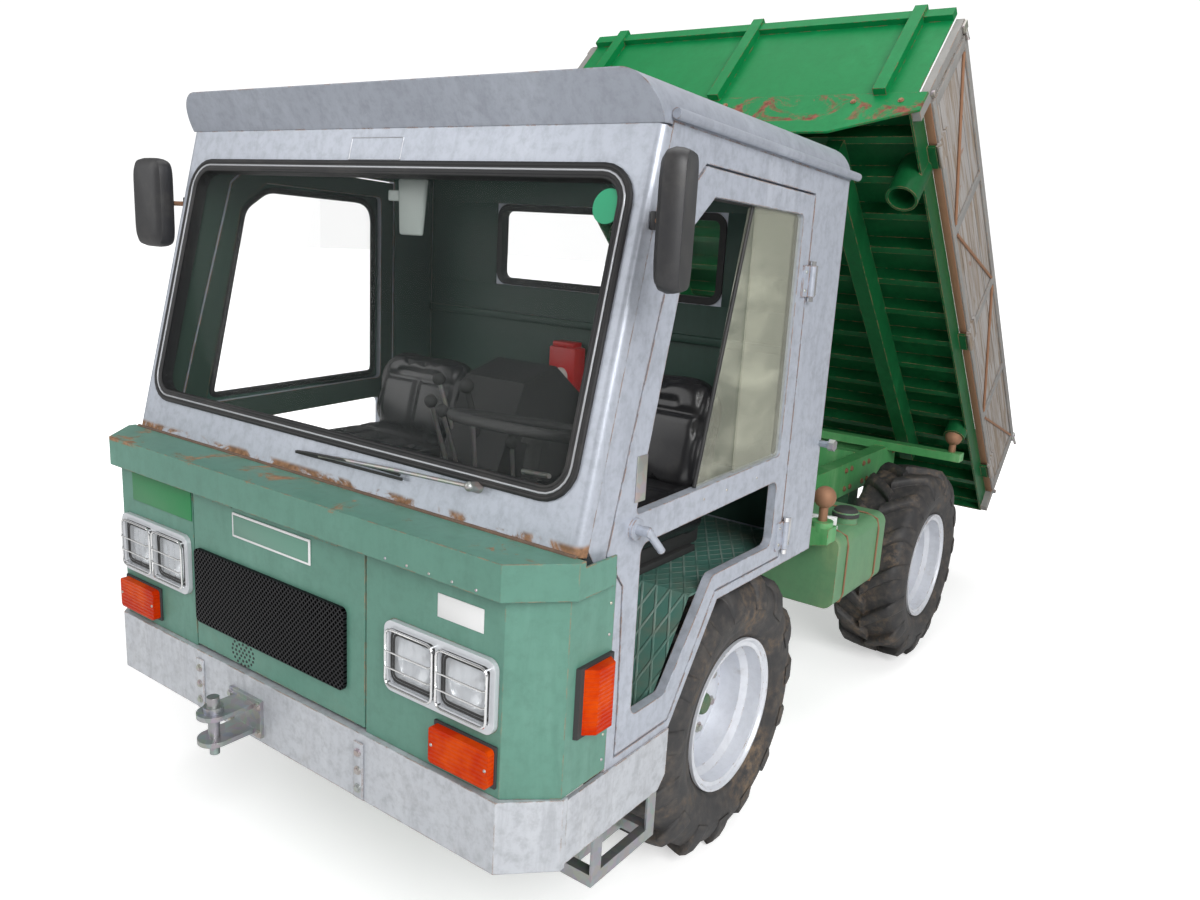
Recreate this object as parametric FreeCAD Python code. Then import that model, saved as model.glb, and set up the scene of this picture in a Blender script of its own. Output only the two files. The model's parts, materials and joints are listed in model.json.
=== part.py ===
import FreeCAD, Part
import math
import os
from FreeCAD import Vector

# Motor transporter: a forward-control farm carrier with a steel cab, four lugged
# wheels and a drop-side bed tipped to the rear.
# Millimetres.  X to the vehicle's left, Y to the rear from the cab's front face, Z up from the ground.

# ---- wheels and axles ----
TYRE_DIAMETER = 810.0
TYRE_WIDTH = 285.0
TYRE_WALL = 16.0
LUG_HEIGHT = 26.0
RIM_LIP_DIAMETER = 437.0
RIM_WIDTH = 250.0
RIM_WALL = 6.0
DISC_INSET = 25.0
WHEEL_OFFSET = 645.0
FRONT_AXLE_Y = 912.0
WHEELBASE = 1712.0
KINGPIN_X = 520.0
KINGPIN_RADIUS = 14.0
SPINDLE_RADIUS = 25.0
BEARING_FIT = 0.05
HUB_RADIUS = 72.0
AXLE_TUBE_RADIUS = 45.0
DIFFERENTIAL_RADIUS = 125.0
DIFFERENTIAL_X = -130.0
STEERING_ARM = 130.0
STEERING_ARM_DROP = 40.0
TIE_ROD_RADIUS = 11.0

# ---- cab ----
CAB_HALF_WIDTH = 800.0
CAB_WALL = 25.0
CAB_REAR_Y = 1255.0
SHEET = 5.0
SEAT = 0.3
CORNER_SLANT = 90.0
CORNER_Y = 85.0
PANEL_BOTTOM_Z = 561.0
BROW_BOTTOM_Z = 997.0
BROW_FOLD_Z = 1072.0
BROW_REACH = 26.0
BROW_OVERHANG = 16.0
BUMPER_BOTTOM_Z = 395.0
BUMPER_REACH = 14.0
HATCH_LEFT_X = 302.0
HATCH_RIGHT_X = -360.0
HATCH_HINGE_RADIUS = 6.0
HATCH_HEADER = 27.0
GAP = 5.0
SCREEN_BOTTOM_Y = 105.0
SCREEN_BOTTOM_Z = 1075.0
SCREEN_TOP_Y = 310.0
SCREEN_TOP_Z = 1909.0
SCREEN_SIDE = 40.0
SCREEN_SILL = 92.0
SCREEN_HEAD = 82.0
SCREEN_CORNER = 80.0
SCREEN_FRAME = 30.0
SEAL_WIDTH = 30.0
GLASS = 6.0
REAR_WINDOW_HALF = 450.0
ROOF_RISE = 88.0
ROOF_CORNER = 85.0
ROOF_WALL = 16.0
VISOR_REACH = 48.0
GUTTER_RADIUS = 11.0
GUTTER_FRONT_Z = 1917.0
GUTTER_REAR_Z = 1870.0
SILL_Z = 818.5
ARCH_FRONT_Y = 503.0
ARCH_KNEE_Z = 543.0
ARCH_TOP_Y = 700.0
ARCH_TRIM = 24.0
FLOOR_Z = 560.0
DECK_Z = 845.0
TOE_BOARD_Y = 140.0
RISER_FOOT_Y = 412.0
RISER_TOP_Y = 600.0
HINGE_RADIUS = 9.0
DOOR_REAR_Y = 1045.0

# ---- chassis ----
RAIL_HALF_FRONT = 280.0
RAIL_HALF_REAR = 420.0
RAIL_WIDTH = 60.0
RAIL_TOP_Z = 800.0
RAIL_DEPTH = 140.0
RAIL_FRONT_TOP_Z = 540.0
RAIL_FRONT_DEPTH = 120.0
FRONT_FRAME_END_Y = 520.0
RAIL_REAR_Y = 3110.0
CRANK_Y = 1225.0
CRANK_LENGTH = 115.0
BALL_INSET = 75.0
BALL_RADIUS = 37.0
BALL_NECK = 15.0

# ---- towing bracket ----
TOW_X = -125.0
TOW_Z = 460.0
TOW_REACH = 95.0
TOW_GAP = 56.0
TOW_EAR = 12.0
TOW_PIN_RADIUS = 14.0
TOW_TAIL_RADIUS = 12.0
TOW_TAIL = 30.0

# ---- mirrors ----
MIRROR_STANDOFF = 180.0
MIRROR_THICKNESS = 52.0
MIRROR_WIDTH = 150.0
MIRROR_HEIGHT = 252.0
MIRROR_LEFT_TURN = 22.0
MIRROR_RIGHT_TURN = 90.0

# ---- bed ----
TIP_ANGLE = 44.2
PIVOT_Y = 3030.0
PIVOT_Z = 890.0
SUPPORT_Y = 1590.0
BED_FLOOR_RISE = 128.0
BED_FRONT_Y = 1305.0
BED_LENGTH = 2390.0
BED_HALF_WIDTH = 775.0
BOARD_THICKNESS = 28.0
BOARD_HEIGHT = 370.0
HEADBOARD_HEIGHT = 412.0
FLOOR_SHEET = 6.0
RIB_DEPTH = 58.0
RIB_COUNT = 14
BED_RAIL_X = 428.0
BED_RAIL_DEPTH = 90.0
BED_RAIL_WIDTH = 60.0
BED_RAIL_REAR = 440.0
BOARD_BARREL = 10.0
HINGE_LENGTH = 90.0
CUP_WALL = 9.0
CUP_CLEARANCE = 9.0
CUP_DEPTH = 45.0
CYLINDER_FOOT_Y = 2272.0
CYLINDER_FOOT_Z = 422.0
CYLINDER_EYE_REACH = 500.0
CYLINDER_EYE_DROP = 0.0
CYLINDER_RADIUS = 44.0
ROD_RADIUS = 24.0
ROD_FIT = 0.05

# ---- worked-out places ----
CORNER_HALF_WIDTH = CAB_HALF_WIDTH + SHEET + SEAT
FACE_HALF_WIDTH = CAB_HALF_WIDTH - CORNER_SLANT
SCREEN_HALF_WIDTH = CAB_HALF_WIDTH - SCREEN_SIDE
MIRROR_REACH = CAB_HALF_WIDTH + MIRROR_STANDOFF
BALL_X = BED_HALF_WIDTH - BALL_INSET
TYRE_RADIUS = TYRE_DIAMETER / 2
REAR_AXLE_Y = FRONT_AXLE_Y + WHEELBASE
BED_FLOOR_Z = PIVOT_Z + BED_FLOOR_RISE
BED_REAR_Y = BED_FRONT_Y + BED_LENGTH
SCREEN_LEAN = math.degrees(math.atan2(SCREEN_TOP_Y - SCREEN_BOTTOM_Y, SCREEN_TOP_Z - SCREEN_BOTTOM_Z))
SCREEN_LENGTH = math.hypot(SCREEN_TOP_Y - SCREEN_BOTTOM_Y, SCREEN_TOP_Z - SCREEN_BOTTOM_Z)
BOARD_HINGE_X = BED_HALF_WIDTH + 12.0
GATE_HINGE_Y = BED_REAR_Y + 12.0
DOOR_HINGE_X = CAB_HALF_WIDTH + HINGE_RADIUS + SEAT
DOOR_HINGE_Y = DOOR_REAR_Y + GAP
HATCH_HINGE_Y = -HATCH_HINGE_RADIUS - SEAT
HATCH_HINGE_Z = BROW_BOTTOM_Z + 6.0
BOARD_HINGE_Z = BED_FLOOR_Z - 8.0
WHEEL_PLACES = {
    "front_left": (1, FRONT_AXLE_Y),
    "front_right": (-1, FRONT_AXLE_Y),
    "rear_left": (1, REAR_AXLE_Y),
    "rear_right": (-1, REAR_AXLE_Y),
}

parts = {}


# ---- shape helpers ----
def box(x0, x1, y0, y1, z0, z1):
    """Block between two corners."""
    return Part.makeBox(x1 - x0, y1 - y0, z1 - z0, Vector(x0, y0, z0))


def face_of(points):
    """Flat face through the points in order."""
    return Part.Face(Part.makePolygon(points + [points[0]]))


def plate_x(outline, x0, x1):
    """Plate with a (y, z) outline between two x planes."""
    face = face_of([Vector(x0, y, z) for y, z in outline])
    return face.extrude(Vector(x1 - x0, 0, 0))


def plate_y(outline, y0, y1):
    """Plate with an (x, z) outline between two y planes."""
    face = face_of([Vector(x, y0, z) for x, z in outline])
    return face.extrude(Vector(0, y1 - y0, 0))


def plate_z(outline, z0, z1):
    """Plate with an (x, y) outline between two z planes."""
    face = face_of([Vector(x, y, z0) for x, y in outline])
    return face.extrude(Vector(0, 0, z1 - z0))


def rounded(points, radius):
    """Face through coplanar points with every corner rounded to the radius."""
    edges = []
    ends = []
    count = len(points)
    for i in range(count):
        before = points[i - 1]
        corner = points[i]
        after = points[(i + 1) % count]
        back = (before - corner).normalize()
        ahead = (after - corner).normalize()
        half = back.getAngle(ahead) / 2
        trim = radius / math.tan(half)
        bisector = (back + ahead).normalize()
        middle = corner + bisector * (radius / math.sin(half) - radius)
        ends.append((corner + back * trim, middle, corner + ahead * trim))
    for i in range(count):
        start, middle, end = ends[i]
        edges.append(Part.Arc(start, middle, end).toShape())
        edges.append(Part.LineSegment(end, ends[(i + 1) % count][0]).toShape())
    return Part.Face(Part.Wire(edges))


def rounded_x(outline, radius, x0, x1):
    """Round-cornered plate with a (y, z) outline between two x planes."""
    face = rounded([Vector(x0, y, z) for y, z in outline], radius)
    return face.extrude(Vector(x1 - x0, 0, 0))


def rounded_y(outline, radius, y0, y1):
    """Round-cornered plate with an (x, z) outline between two y planes."""
    face = rounded([Vector(x, y0, z) for x, z in outline], radius)
    return face.extrude(Vector(0, y1 - y0, 0))


def corners(a0, a1, b0, b1):
    """Corner list of a rectangle."""
    return [(a0, b0), (a1, b0), (a1, b1), (a0, b1)]


def rod(start, end, radius):
    """Round bar from point to point."""
    run = end - start
    return Part.makeCylinder(radius, run.Length, start, run)


def turned(profile, centre, axis):
    """Solid of revolution: profile is (along, radius) about an axis through the centre."""
    side = axis.cross(Vector(0, 0, 1))
    if side.Length < 0.5:
        side = Vector(1, 0, 0)
    points = [centre + axis * a + side * r for a, r in profile]
    return face_of(points).revolve(centre, axis, 360)


def mirrored(shape):
    """The same shape on the other side of the vehicle."""
    return shape.mirror(Vector(0, 0, 0), Vector(1, 0, 0))


def both_sides(shape):
    """Shape and its mirror image in one compound."""
    return Part.makeCompound([shape, mirrored(shape)])


def fused(shapes):
    """Union of a list of shapes, with seams removed."""
    first = shapes[0]
    return first.fuse(shapes[1:]).removeSplitter()


def on_screen(shape):
    """Leans a shape drawn upright at the screen's foot back onto the screen plane."""
    placed = shape.copy()
    placed.translate(Vector(0, SCREEN_BOTTOM_Y, SCREEN_BOTTOM_Z))
    placed.rotate(Vector(0, SCREEN_BOTTOM_Y, SCREEN_BOTTOM_Z), Vector(1, 0, 0), -SCREEN_LEAN)
    return placed


def tipped(shape):
    """Turns a shape drawn on the lowered bed up to the tipped place."""
    placed = shape.copy()
    placed.rotate(Vector(0, PIVOT_Y, PIVOT_Z), Vector(1, 0, 0), -TIP_ANGLE)
    return placed


# ---- wheels ----
def rim_profile():
    """Half-section of the drop-centre rim, about the wheel's middle plane."""
    half = RIM_WIDTH / 2
    lip = RIM_LIP_DIAMETER / 2
    seat = lip - 19
    well = lip - 37
    outer = [
        (-half, lip), (-half + 11, lip), (-half + 15, seat), (-half + 50, seat), (-half + 66, well),
        (half - 66, well), (half - 50, seat), (half - 15, seat), (half - 11, lip), (half, lip),
    ]
    inner = [
        (half, lip - RIM_WALL), (half - 9, lip - 2 * RIM_WALL), (half - 9, seat - RIM_WALL),
        (half - 53, seat - RIM_WALL), (half - 69, well - RIM_WALL), (-half + 69, well - RIM_WALL),
        (-half + 53, seat - RIM_WALL), (-half + 9, seat - RIM_WALL), (-half + 9, lip - 2 * RIM_WALL),
        (-half, lip - RIM_WALL),
    ]
    return outer + inner


def make_rim(side, axle_y):
    """Rim, dished disc and hub of one wheel."""
    centre = Vector(side * WHEEL_OFFSET, axle_y, TYRE_RADIUS)
    out = Vector(side, 0, 0)
    rim = turned(rim_profile(), centre, out)
    well = RIM_LIP_DIAMETER / 2 - 37 - RIM_WALL
    face = -DISC_INSET
    disc = turned([(face, SPINDLE_RADIUS + BEARING_FIT), (face, 70), (face + 14, 95), (face + 14, 130),
                   (face, well + 1), (face + 9, well + 1), (face + 23, 130), (face + 23, 95),
                   (face + 12, 70), (face + 12, SPINDLE_RADIUS + BEARING_FIT)], centre, out)
    hub = turned([(face - 38, SPINDLE_RADIUS + BEARING_FIT), (face - 38, HUB_RADIUS), (face + 4, HUB_RADIUS),
                  (face + 12, 52), (face + 48, 46), (face + 54, 38), (face + 54, SPINDLE_RADIUS + BEARING_FIT)],
                 centre, out)
    return fused([rim, disc, hub])


def make_tyre(side, axle_y):
    """Tyre of one wheel, out to the tips of its lugs."""
    centre = Vector(side * WHEEL_OFFSET, axle_y, TYRE_RADIUS)
    out = Vector(side, 0, 0)
    bead = RIM_LIP_DIAMETER / 2 - 19
    wide = TYRE_WIDTH / 2
    foot = RIM_WIDTH / 2 - 15.5
    carcass = TYRE_RADIUS
    outer = [
        (-foot, bead + 0.3), (-foot, bead + 25), (-wide + 6, bead + 50), (-wide, bead + 95),
        (-wide + 12, carcass - 34), (-wide + 40, carcass - 6), (0, carcass),
        (wide - 40, carcass - 6), (wide - 12, carcass - 34), (wide, bead + 95), (wide - 6, bead + 50),
        (foot, bead + 25), (foot, bead + 0.3),
    ]
    inner = [
        (foot - TYRE_WALL, bead + 0.3), (foot - TYRE_WALL, bead + 30), (wide - TYRE_WALL, bead + 90),
        (wide - TYRE_WALL - 28, carcass - LUG_HEIGHT - TYRE_WALL),
        (-wide + TYRE_WALL + 28, carcass - LUG_HEIGHT - TYRE_WALL), (-wide + TYRE_WALL, bead + 90),
        (-foot + TYRE_WALL, bead + 30), (-foot + TYRE_WALL, bead + 0.3),
    ]
    return turned(outer + inner, centre, out)


def make_knuckle(side):
    """Steering knuckle: kingpin body, stub spindle and steering arm."""
    centre = Vector(side * KINGPIN_X, FRONT_AXLE_Y, TYRE_RADIUS)
    out = Vector(side, 0, 0)
    body = Part.makeCylinder(34, 120, centre - Vector(0, 0, 60), Vector(0, 0, 1))
    reach = WHEEL_OFFSET - KINGPIN_X - DISC_INSET
    shoulder = turned([(0, 0), (0, 40), (reach - 42, 46), (reach - 42, 0)], centre, out)
    spindle = turned([(0, 0), (0, SPINDLE_RADIUS), (reach + 46, SPINDLE_RADIUS), (reach + 46, 0)], centre, out)
    arm_end = centre + Vector(-side * 18, STEERING_ARM, -STEERING_ARM_DROP)
    arm = rod(centre + Vector(0, 20, -STEERING_ARM_DROP), arm_end, 13)
    boss = Part.makeCylinder(20, 30, arm_end - Vector(0, 0, 15), Vector(0, 0, 1))
    bore = Part.makeCylinder(KINGPIN_RADIUS + BEARING_FIT, 140, centre - Vector(0, 0, 70), Vector(0, 0, 1))
    return fused([body, shoulder, spindle, arm, boss]).cut(bore)


def differential(axle_y):
    """Round differential casing on an axle."""
    r = DIFFERENTIAL_RADIUS
    centre = Vector(DIFFERENTIAL_X, axle_y, TYRE_RADIUS)
    return turned([(-r * 0.8, 0), (-r * 0.8, r * 0.45), (-r * 0.3, r), (r * 0.3, r), (r * 0.8, r * 0.45),
                   (r * 0.8, 0)], centre, Vector(1, 0, 0))


def make_front_axle():
    """Driven front axle with a yoke and kingpin at each end, and its spring seats up to the rails."""
    yoke_x = KINGPIN_X - 62
    tube = rod(Vector(-yoke_x, FRONT_AXLE_Y, TYRE_RADIUS), Vector(yoke_x, FRONT_AXLE_Y, TYRE_RADIUS),
               AXLE_TUBE_RADIUS)
    pieces = [tube, differential(FRONT_AXLE_Y)]
    for side in (1, -1):
        x = side * KINGPIN_X
        web = box(min(x - side * 70, x - side * 42), max(x - side * 70, x - side * 42),
                  FRONT_AXLE_Y - 32, FRONT_AXLE_Y + 32, TYRE_RADIUS - 90, TYRE_RADIUS + 90)
        pieces.append(web)
        for z0 in (TYRE_RADIUS - 90, TYRE_RADIUS + 66):
            pieces.append(box(min(x - side * 70, x), max(x - side * 70, x), FRONT_AXLE_Y - 30,
                              FRONT_AXLE_Y + 30, z0, z0 + 24))
            pieces.append(Part.makeCylinder(30, 24, Vector(x, FRONT_AXLE_Y, z0), Vector(0, 0, 1)))
        pieces.append(Part.makeCylinder(KINGPIN_RADIUS, 150, Vector(x, FRONT_AXLE_Y, TYRE_RADIUS - 75),
                                        Vector(0, 0, 1)))
    for side in (1, -1):
        x = side * (RAIL_HALF_FRONT - RAIL_WIDTH / 2)
        pieces.append(box(x - 28, x + 28, FRONT_AXLE_Y - 55, FRONT_AXLE_Y + 55, TYRE_RADIUS + 20,
                          RAIL_TOP_Z - RAIL_DEPTH))
    return fused(pieces)


def make_rear_axle():
    """Rear axle beam with stub spindles and its seats under the rails."""
    reach = WHEEL_OFFSET - DISC_INSET
    tube_end = reach - 42
    tube = rod(Vector(-tube_end, REAR_AXLE_Y, TYRE_RADIUS), Vector(tube_end, REAR_AXLE_Y, TYRE_RADIUS),
               AXLE_TUBE_RADIUS)
    spindle = rod(Vector(-reach - 46, REAR_AXLE_Y, TYRE_RADIUS), Vector(reach + 46, REAR_AXLE_Y, TYRE_RADIUS),
                  SPINDLE_RADIUS)
    pieces = [tube, spindle, differential(REAR_AXLE_Y)]
    for side in (1, -1):
        x = side * (RAIL_HALF_REAR - RAIL_WIDTH / 2)
        pieces.append(box(x - 28, x + 28, REAR_AXLE_Y - 55, REAR_AXLE_Y + 55, TYRE_RADIUS + 20,
                          RAIL_TOP_Z - RAIL_DEPTH))
    return fused(pieces)


def make_tie_rod():
    """Tie rod with an eye under each steering arm."""
    end_x = KINGPIN_X - 18
    y = FRONT_AXLE_Y + STEERING_ARM
    top = TYRE_RADIUS - STEERING_ARM_DROP - 15 - SEAT
    z = top - TIE_ROD_RADIUS
    bar = rod(Vector(-end_x, y, z), Vector(end_x, y, z), TIE_ROD_RADIUS)
    eyes = [Part.makeCylinder(20, 2 * TIE_ROD_RADIUS, Vector(side * end_x, y, z - TIE_ROD_RADIUS), Vector(0, 0, 1))
            for side in (1, -1)]
    return fused([bar] + eyes)


# ---- chassis ----
def rail_side_outline(y_end):
    """Side outline of a rail: low behind the front frame, up over the axle."""
    low_top = RAIL_FRONT_TOP_Z
    low = low_top - RAIL_FRONT_DEPTH
    high = RAIL_TOP_Z
    under = high - RAIL_DEPTH
    start = FRONT_FRAME_END_Y + SEAT
    return [(start, low), (640, low), (800, under), (y_end, under), (y_end, high), (740, high),
            (RISER_FOOT_Y + 140, low_top), (start, low_top)]


def make_front_frame():
    """Low front frame under the cab floor: two straight rails and their cross-member."""
    low = RAIL_FRONT_TOP_Z - RAIL_FRONT_DEPTH
    nose = -BUMPER_REACH + SHEET + SEAT
    inner = RAIL_HALF_FRONT - RAIL_WIDTH
    rails = [box(min(side * inner, side * RAIL_HALF_FRONT), max(side * inner, side * RAIL_HALF_FRONT), nose,
                 FRONT_FRAME_END_Y, low, RAIL_FRONT_TOP_Z) for side in (1, -1)]
    cross = box(-inner, inner, 30, 90, RAIL_FRONT_TOP_Z - 100, RAIL_FRONT_TOP_Z)
    return fused(rails + [cross])


def make_chassis():
    """Two cranked rails with cross-members, outriggers and ball posts."""
    pieces = []
    under = RAIL_TOP_Z - RAIL_DEPTH
    for side in (1, -1):
        front = [side * (RAIL_HALF_FRONT - RAIL_WIDTH), side * RAIL_HALF_FRONT]
        rear = [side * (RAIL_HALF_REAR - RAIL_WIDTH), side * RAIL_HALF_REAR]
        pieces.append(plate_x(rail_side_outline(CRANK_Y), min(front), max(front)))
        pieces.append(box(min(rear), max(rear), CRANK_Y + CRANK_LENGTH, RAIL_REAR_Y, under, RAIL_TOP_Z))
        pieces.append(plate_z([(front[0], CRANK_Y), (front[1], CRANK_Y), (rear[1], CRANK_Y + CRANK_LENGTH),
                               (rear[0], CRANK_Y + CRANK_LENGTH)], under, RAIL_TOP_Z))
    inner_rear = RAIL_HALF_REAR - RAIL_WIDTH
    pieces.append(box(-inner_rear, inner_rear, 1360, 1420, under + 60, RAIL_TOP_Z))
    pieces.append(box(-inner_rear, inner_rear, 2840, 2900, under, RAIL_TOP_Z - 20))
    pieces.append(box(-inner_rear, inner_rear, RAIL_REAR_Y - 60, RAIL_REAR_Y, under, RAIL_TOP_Z))
    pieces.append(make_cylinder_bracket(inner_rear, under))
    beam_half = BALL_X + 46
    pieces.append(box(-beam_half, beam_half, PIVOT_Y - 35, PIVOT_Y + 30, RAIL_TOP_Z - 15, RAIL_TOP_Z + 22))
    for side in (1, -1):
        arm = plate_y([(side * (RAIL_HALF_REAR - 10), under), (side * (BALL_X + 38), RAIL_TOP_Z - 60),
                       (side * (BALL_X + 38), RAIL_TOP_Z - 8), (side * (RAIL_HALF_REAR - 10), RAIL_TOP_Z - 8)],
                      SUPPORT_Y - 35, SUPPORT_Y + 35)
        pieces.append(arm)
        pieces.append(Part.makeCylinder(36, 30, Vector(side * BALL_X, SUPPORT_Y, RAIL_TOP_Z - 20),
                                        Vector(0, 0, 1)))
    return fused(pieces)


def make_cylinder_bracket(inner, under):
    """Cross-member with two lugs that carry the tipping cylinder's foot."""
    y = CYLINDER_FOOT_Y
    z = CYLINDER_FOOT_Z
    beam = box(-inner, inner, y - 130, y - 70, under, under + 70)
    lugs = []
    for side in (1, -1):
        x = side * (CYLINDER_RADIUS + GAP)
        outline = [(y - 130, under + 20), (y - 70, under + 20), (y + 32, z + 20), (y + 32, z - 32),
                   (y - 32, z - 32)]
        lugs.append(plate_x(outline, min(x, x + side * 12), max(x, x + side * 12)))
    pin = rod(Vector(-CYLINDER_RADIUS - GAP - 12, y, z), Vector(CYLINDER_RADIUS + GAP + 12, y, z), 14)
    return fused([beam, pin] + lugs)


def make_balls():
    """Four steel support balls on their necks."""
    balls = []
    for x in (BALL_X, -BALL_X):
        for y, foot in ((PIVOT_Y, RAIL_TOP_Z + 22), (SUPPORT_Y, RAIL_TOP_Z + 10)):
            ball = Part.makeSphere(BALL_RADIUS, Vector(x, y, PIVOT_Z))
            neck = Part.makeCylinder(BALL_NECK, PIVOT_Z - foot, Vector(x, y, foot), Vector(0, 0, 1))
            balls.append(ball.fuse(neck).removeSplitter())
    return Part.makeCompound(balls)


def make_engine():
    """Engine as one plain block between the rails."""
    half = RAIL_HALF_FRONT - RAIL_WIDTH
    return box(-half, half, 830, 1210, TYRE_RADIUS + DIFFERENTIAL_RADIUS + 70, DECK_Z - 10)


def make_transmission():
    """Gearbox behind the engine and a shaft to each axle."""
    z = TYRE_RADIUS + DIFFERENTIAL_RADIUS + 110
    gearbox = box(DIFFERENTIAL_X - 90, DIFFERENTIAL_X + 150, 1210, 1540, z - 110, z + 60)
    shafts = []
    for start, axle_y in ((Vector(DIFFERENTIAL_X, 1215, z - 80), FRONT_AXLE_Y),
                          (Vector(DIFFERENTIAL_X, 1535, z - 70), REAR_AXLE_Y)):
        axle = Vector(DIFFERENTIAL_X, axle_y, TYRE_RADIUS)
        toward = (start - axle).normalize()
        shafts.append(rod(start, axle + toward * (DIFFERENTIAL_RADIUS + SEAT), 25))
    return fused([gearbox] + shafts)


def make_tank():
    """Fuel tank with round edges, carried outside the left rail behind the cab."""
    body = box(RAIL_HALF_REAR, 748, 1640, 2085, 488, 745)
    body = body.makeFillet(38, [e for e in body.Edges if abs(e.tangentAt(e.FirstParameter).y) > 0.9
                                and e.CenterOfMass.x > 600])
    neck = Part.makeCylinder(42, 26, Vector(680, 1850, 742), Vector(0, 0, 1))
    cap = Part.makeCylinder(46, 20, Vector(680, 1850, 766), Vector(0, 0, 1))
    return fused([body, neck, cap])


def make_tow_bracket():
    """Front towing bracket: base plate, two ears and an upright drop pin."""
    face = -BUMPER_REACH
    eye_y = face - TOW_REACH
    x = TOW_X
    low = TOW_Z - TOW_GAP / 2 - TOW_EAR
    high = TOW_Z + TOW_GAP / 2
    plate = box(x - 65, x + 65, face - 10, face, low - 8, high + TOW_EAR + 12)
    ears = [box(x - 40, x + 40, eye_y, face - 8, z, z + TOW_EAR) for z in (low, high)]
    noses = [Part.makeCylinder(40, TOW_EAR, Vector(x, eye_y, z), Vector(0, 0, 1)) for z in (low, high)]
    bore = Part.makeCylinder(TOW_PIN_RADIUS + 0.2, 200, Vector(x, eye_y, low - 50), Vector(0, 0, 1))
    bracket = fused([plate] + ears + noses).cut(bore)
    head_z = high + TOW_EAR
    shaft = Part.makeCylinder(TOW_PIN_RADIUS, head_z - low + 4, Vector(x, eye_y, low - 4), Vector(0, 0, 1))
    tail = Part.makeCylinder(TOW_TAIL_RADIUS, TOW_TAIL, Vector(x, eye_y, low - 4 - TOW_TAIL), Vector(0, 0, 1))
    head = Part.makeCylinder(24, 14, Vector(x, eye_y, head_z), Vector(0, 0, 1))
    knob = Part.makeCylinder(15, 24, Vector(x, eye_y, head_z + 14), Vector(0, 0, 1))
    return Part.makeCompound([bracket, fused([shaft, tail, head, knob])])


# ---- cab shell ----
def nose_outline(grow, reach, y_end):
    """Plan outline of the nose: flat face, slanted corners, straight sides."""
    return [(-FACE_HALF_WIDTH - grow / 2, -reach), (FACE_HALF_WIDTH + grow / 2, -reach),
            (CORNER_HALF_WIDTH + grow, CORNER_Y), (CORNER_HALF_WIDTH + grow, y_end),
            (-CORNER_HALF_WIDTH - grow, y_end), (-CORNER_HALF_WIDTH - grow, CORNER_Y)]


def nose_band(grow, reach, y_end, z0, z1, wall):
    """Bent sheet band round the nose, open at the rear."""
    outer = plate_z(nose_outline(grow, reach, y_end), z0, z1)
    inner = plate_z(nose_outline(grow - wall, reach - wall, y_end + 10), z0 - 1, z1 + 1)
    return outer.cut(inner)


def lamp_rect(side, grow):
    """Outline of one twin-headlamp bezel, grown by a clearance."""
    inner = side * (378 - grow)
    outer = side * (700 + grow)
    return corners(min(inner, outer), max(inner, outer), 700 - grow, 863 + grow)


def make_front_panels():
    """Lower nose skin with the hatch opening, its header and two lamp openings."""
    top = BROW_BOTTOM_Z + HATCH_HEADER
    band = nose_band(0, 0, 236, PANEL_BOTTOM_Z, top, SHEET)
    hole = box(HATCH_RIGHT_X - GAP, HATCH_LEFT_X + GAP, -20, 20, PANEL_BOTTOM_Z - 1, BROW_BOTTOM_Z + 1)
    band = band.cut(hole)
    for side in (1, -1):
        band = band.cut(rounded_y(lamp_rect(side, SEAT), 24 + SEAT, -5, 20))
    return band


def make_hatch():
    """Centre access panel, hung on two barrels behind the brow's lip."""
    top = BROW_BOTTOM_Z - 4
    sheet = box(HATCH_RIGHT_X, HATCH_LEFT_X, 0, SHEET, PANEL_BOTTOM_Z + 8, top)
    frame = box(HATCH_RIGHT_X + 12, HATCH_LEFT_X - 12, SHEET, 24, PANEL_BOTTOM_Z + 20, BROW_BOTTOM_Z - 30)
    opening = box(HATCH_RIGHT_X + 32, HATCH_LEFT_X - 32, SHEET - 1, 25, PANEL_BOTTOM_Z + 45, BROW_BOTTOM_Z - 60)
    pieces = [sheet, frame.cut(opening)]
    for x in (HATCH_RIGHT_X + 90, HATCH_LEFT_X - 170):
        pieces.append(box(x, x + 80, -3, 1, top - 12, top))
        pieces.append(box(x, x + 80, -3, -SEAT, top - 1, HATCH_HINGE_Z))
        pieces.append(Part.makeCylinder(HATCH_HINGE_RADIUS, 80, Vector(x, HATCH_HINGE_Y, HATCH_HINGE_Z),
                                        Vector(1, 0, 0)))
    return fused(pieces)


def make_grille():
    """Dark perforated grille on the hatch."""
    return rounded_y(corners(-351, 241, 640, 842), 16, -10, 0)


def make_brow():
    """Folded cowl over the lower nose, with a sloping top up to the screen."""
    outer = plate_z(nose_outline(BROW_OVERHANG, BROW_REACH, 210), BROW_BOTTOM_Z, BROW_FOLD_Z + 3)
    inner = plate_z(nose_outline(BROW_OVERHANG - SHEET, BROW_REACH - SHEET, 220), BROW_BOTTOM_Z - 5,
                    BROW_FOLD_Z - 2)
    shell = outer.cut(inner)
    behind = box(-2000, 2000, SCREEN_BOTTOM_Y, 400, BROW_FOLD_Z - 10, BROW_FOLD_Z + 50)
    keep_inside = box(-CAB_HALF_WIDTH - 3, CAB_HALF_WIDTH + 3, SCREEN_BOTTOM_Y, 400, BROW_BOTTOM_Z - 5, BROW_FOLD_Z + 50)
    return shell.cut(behind).cut(keep_inside)


def make_bumper():
    """Bumper in three lapped sections with a rolled top lip."""
    band = nose_band(6, BUMPER_REACH, 100, BUMPER_BOTTOM_Z, PANEL_BOTTOM_Z - 19, SHEET)
    lip_outer = plate_z(nose_outline(6, BUMPER_REACH, 100), PANEL_BOTTOM_Z - 19, PANEL_BOTTOM_Z - SEAT)
    lip_inner = plate_z(nose_outline(-60, -60, 110), PANEL_BOTTOM_Z - 30, PANEL_BOTTOM_Z + 1)
    lip = lip_outer.cut(lip_inner)
    return fused([band, lip])


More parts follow.
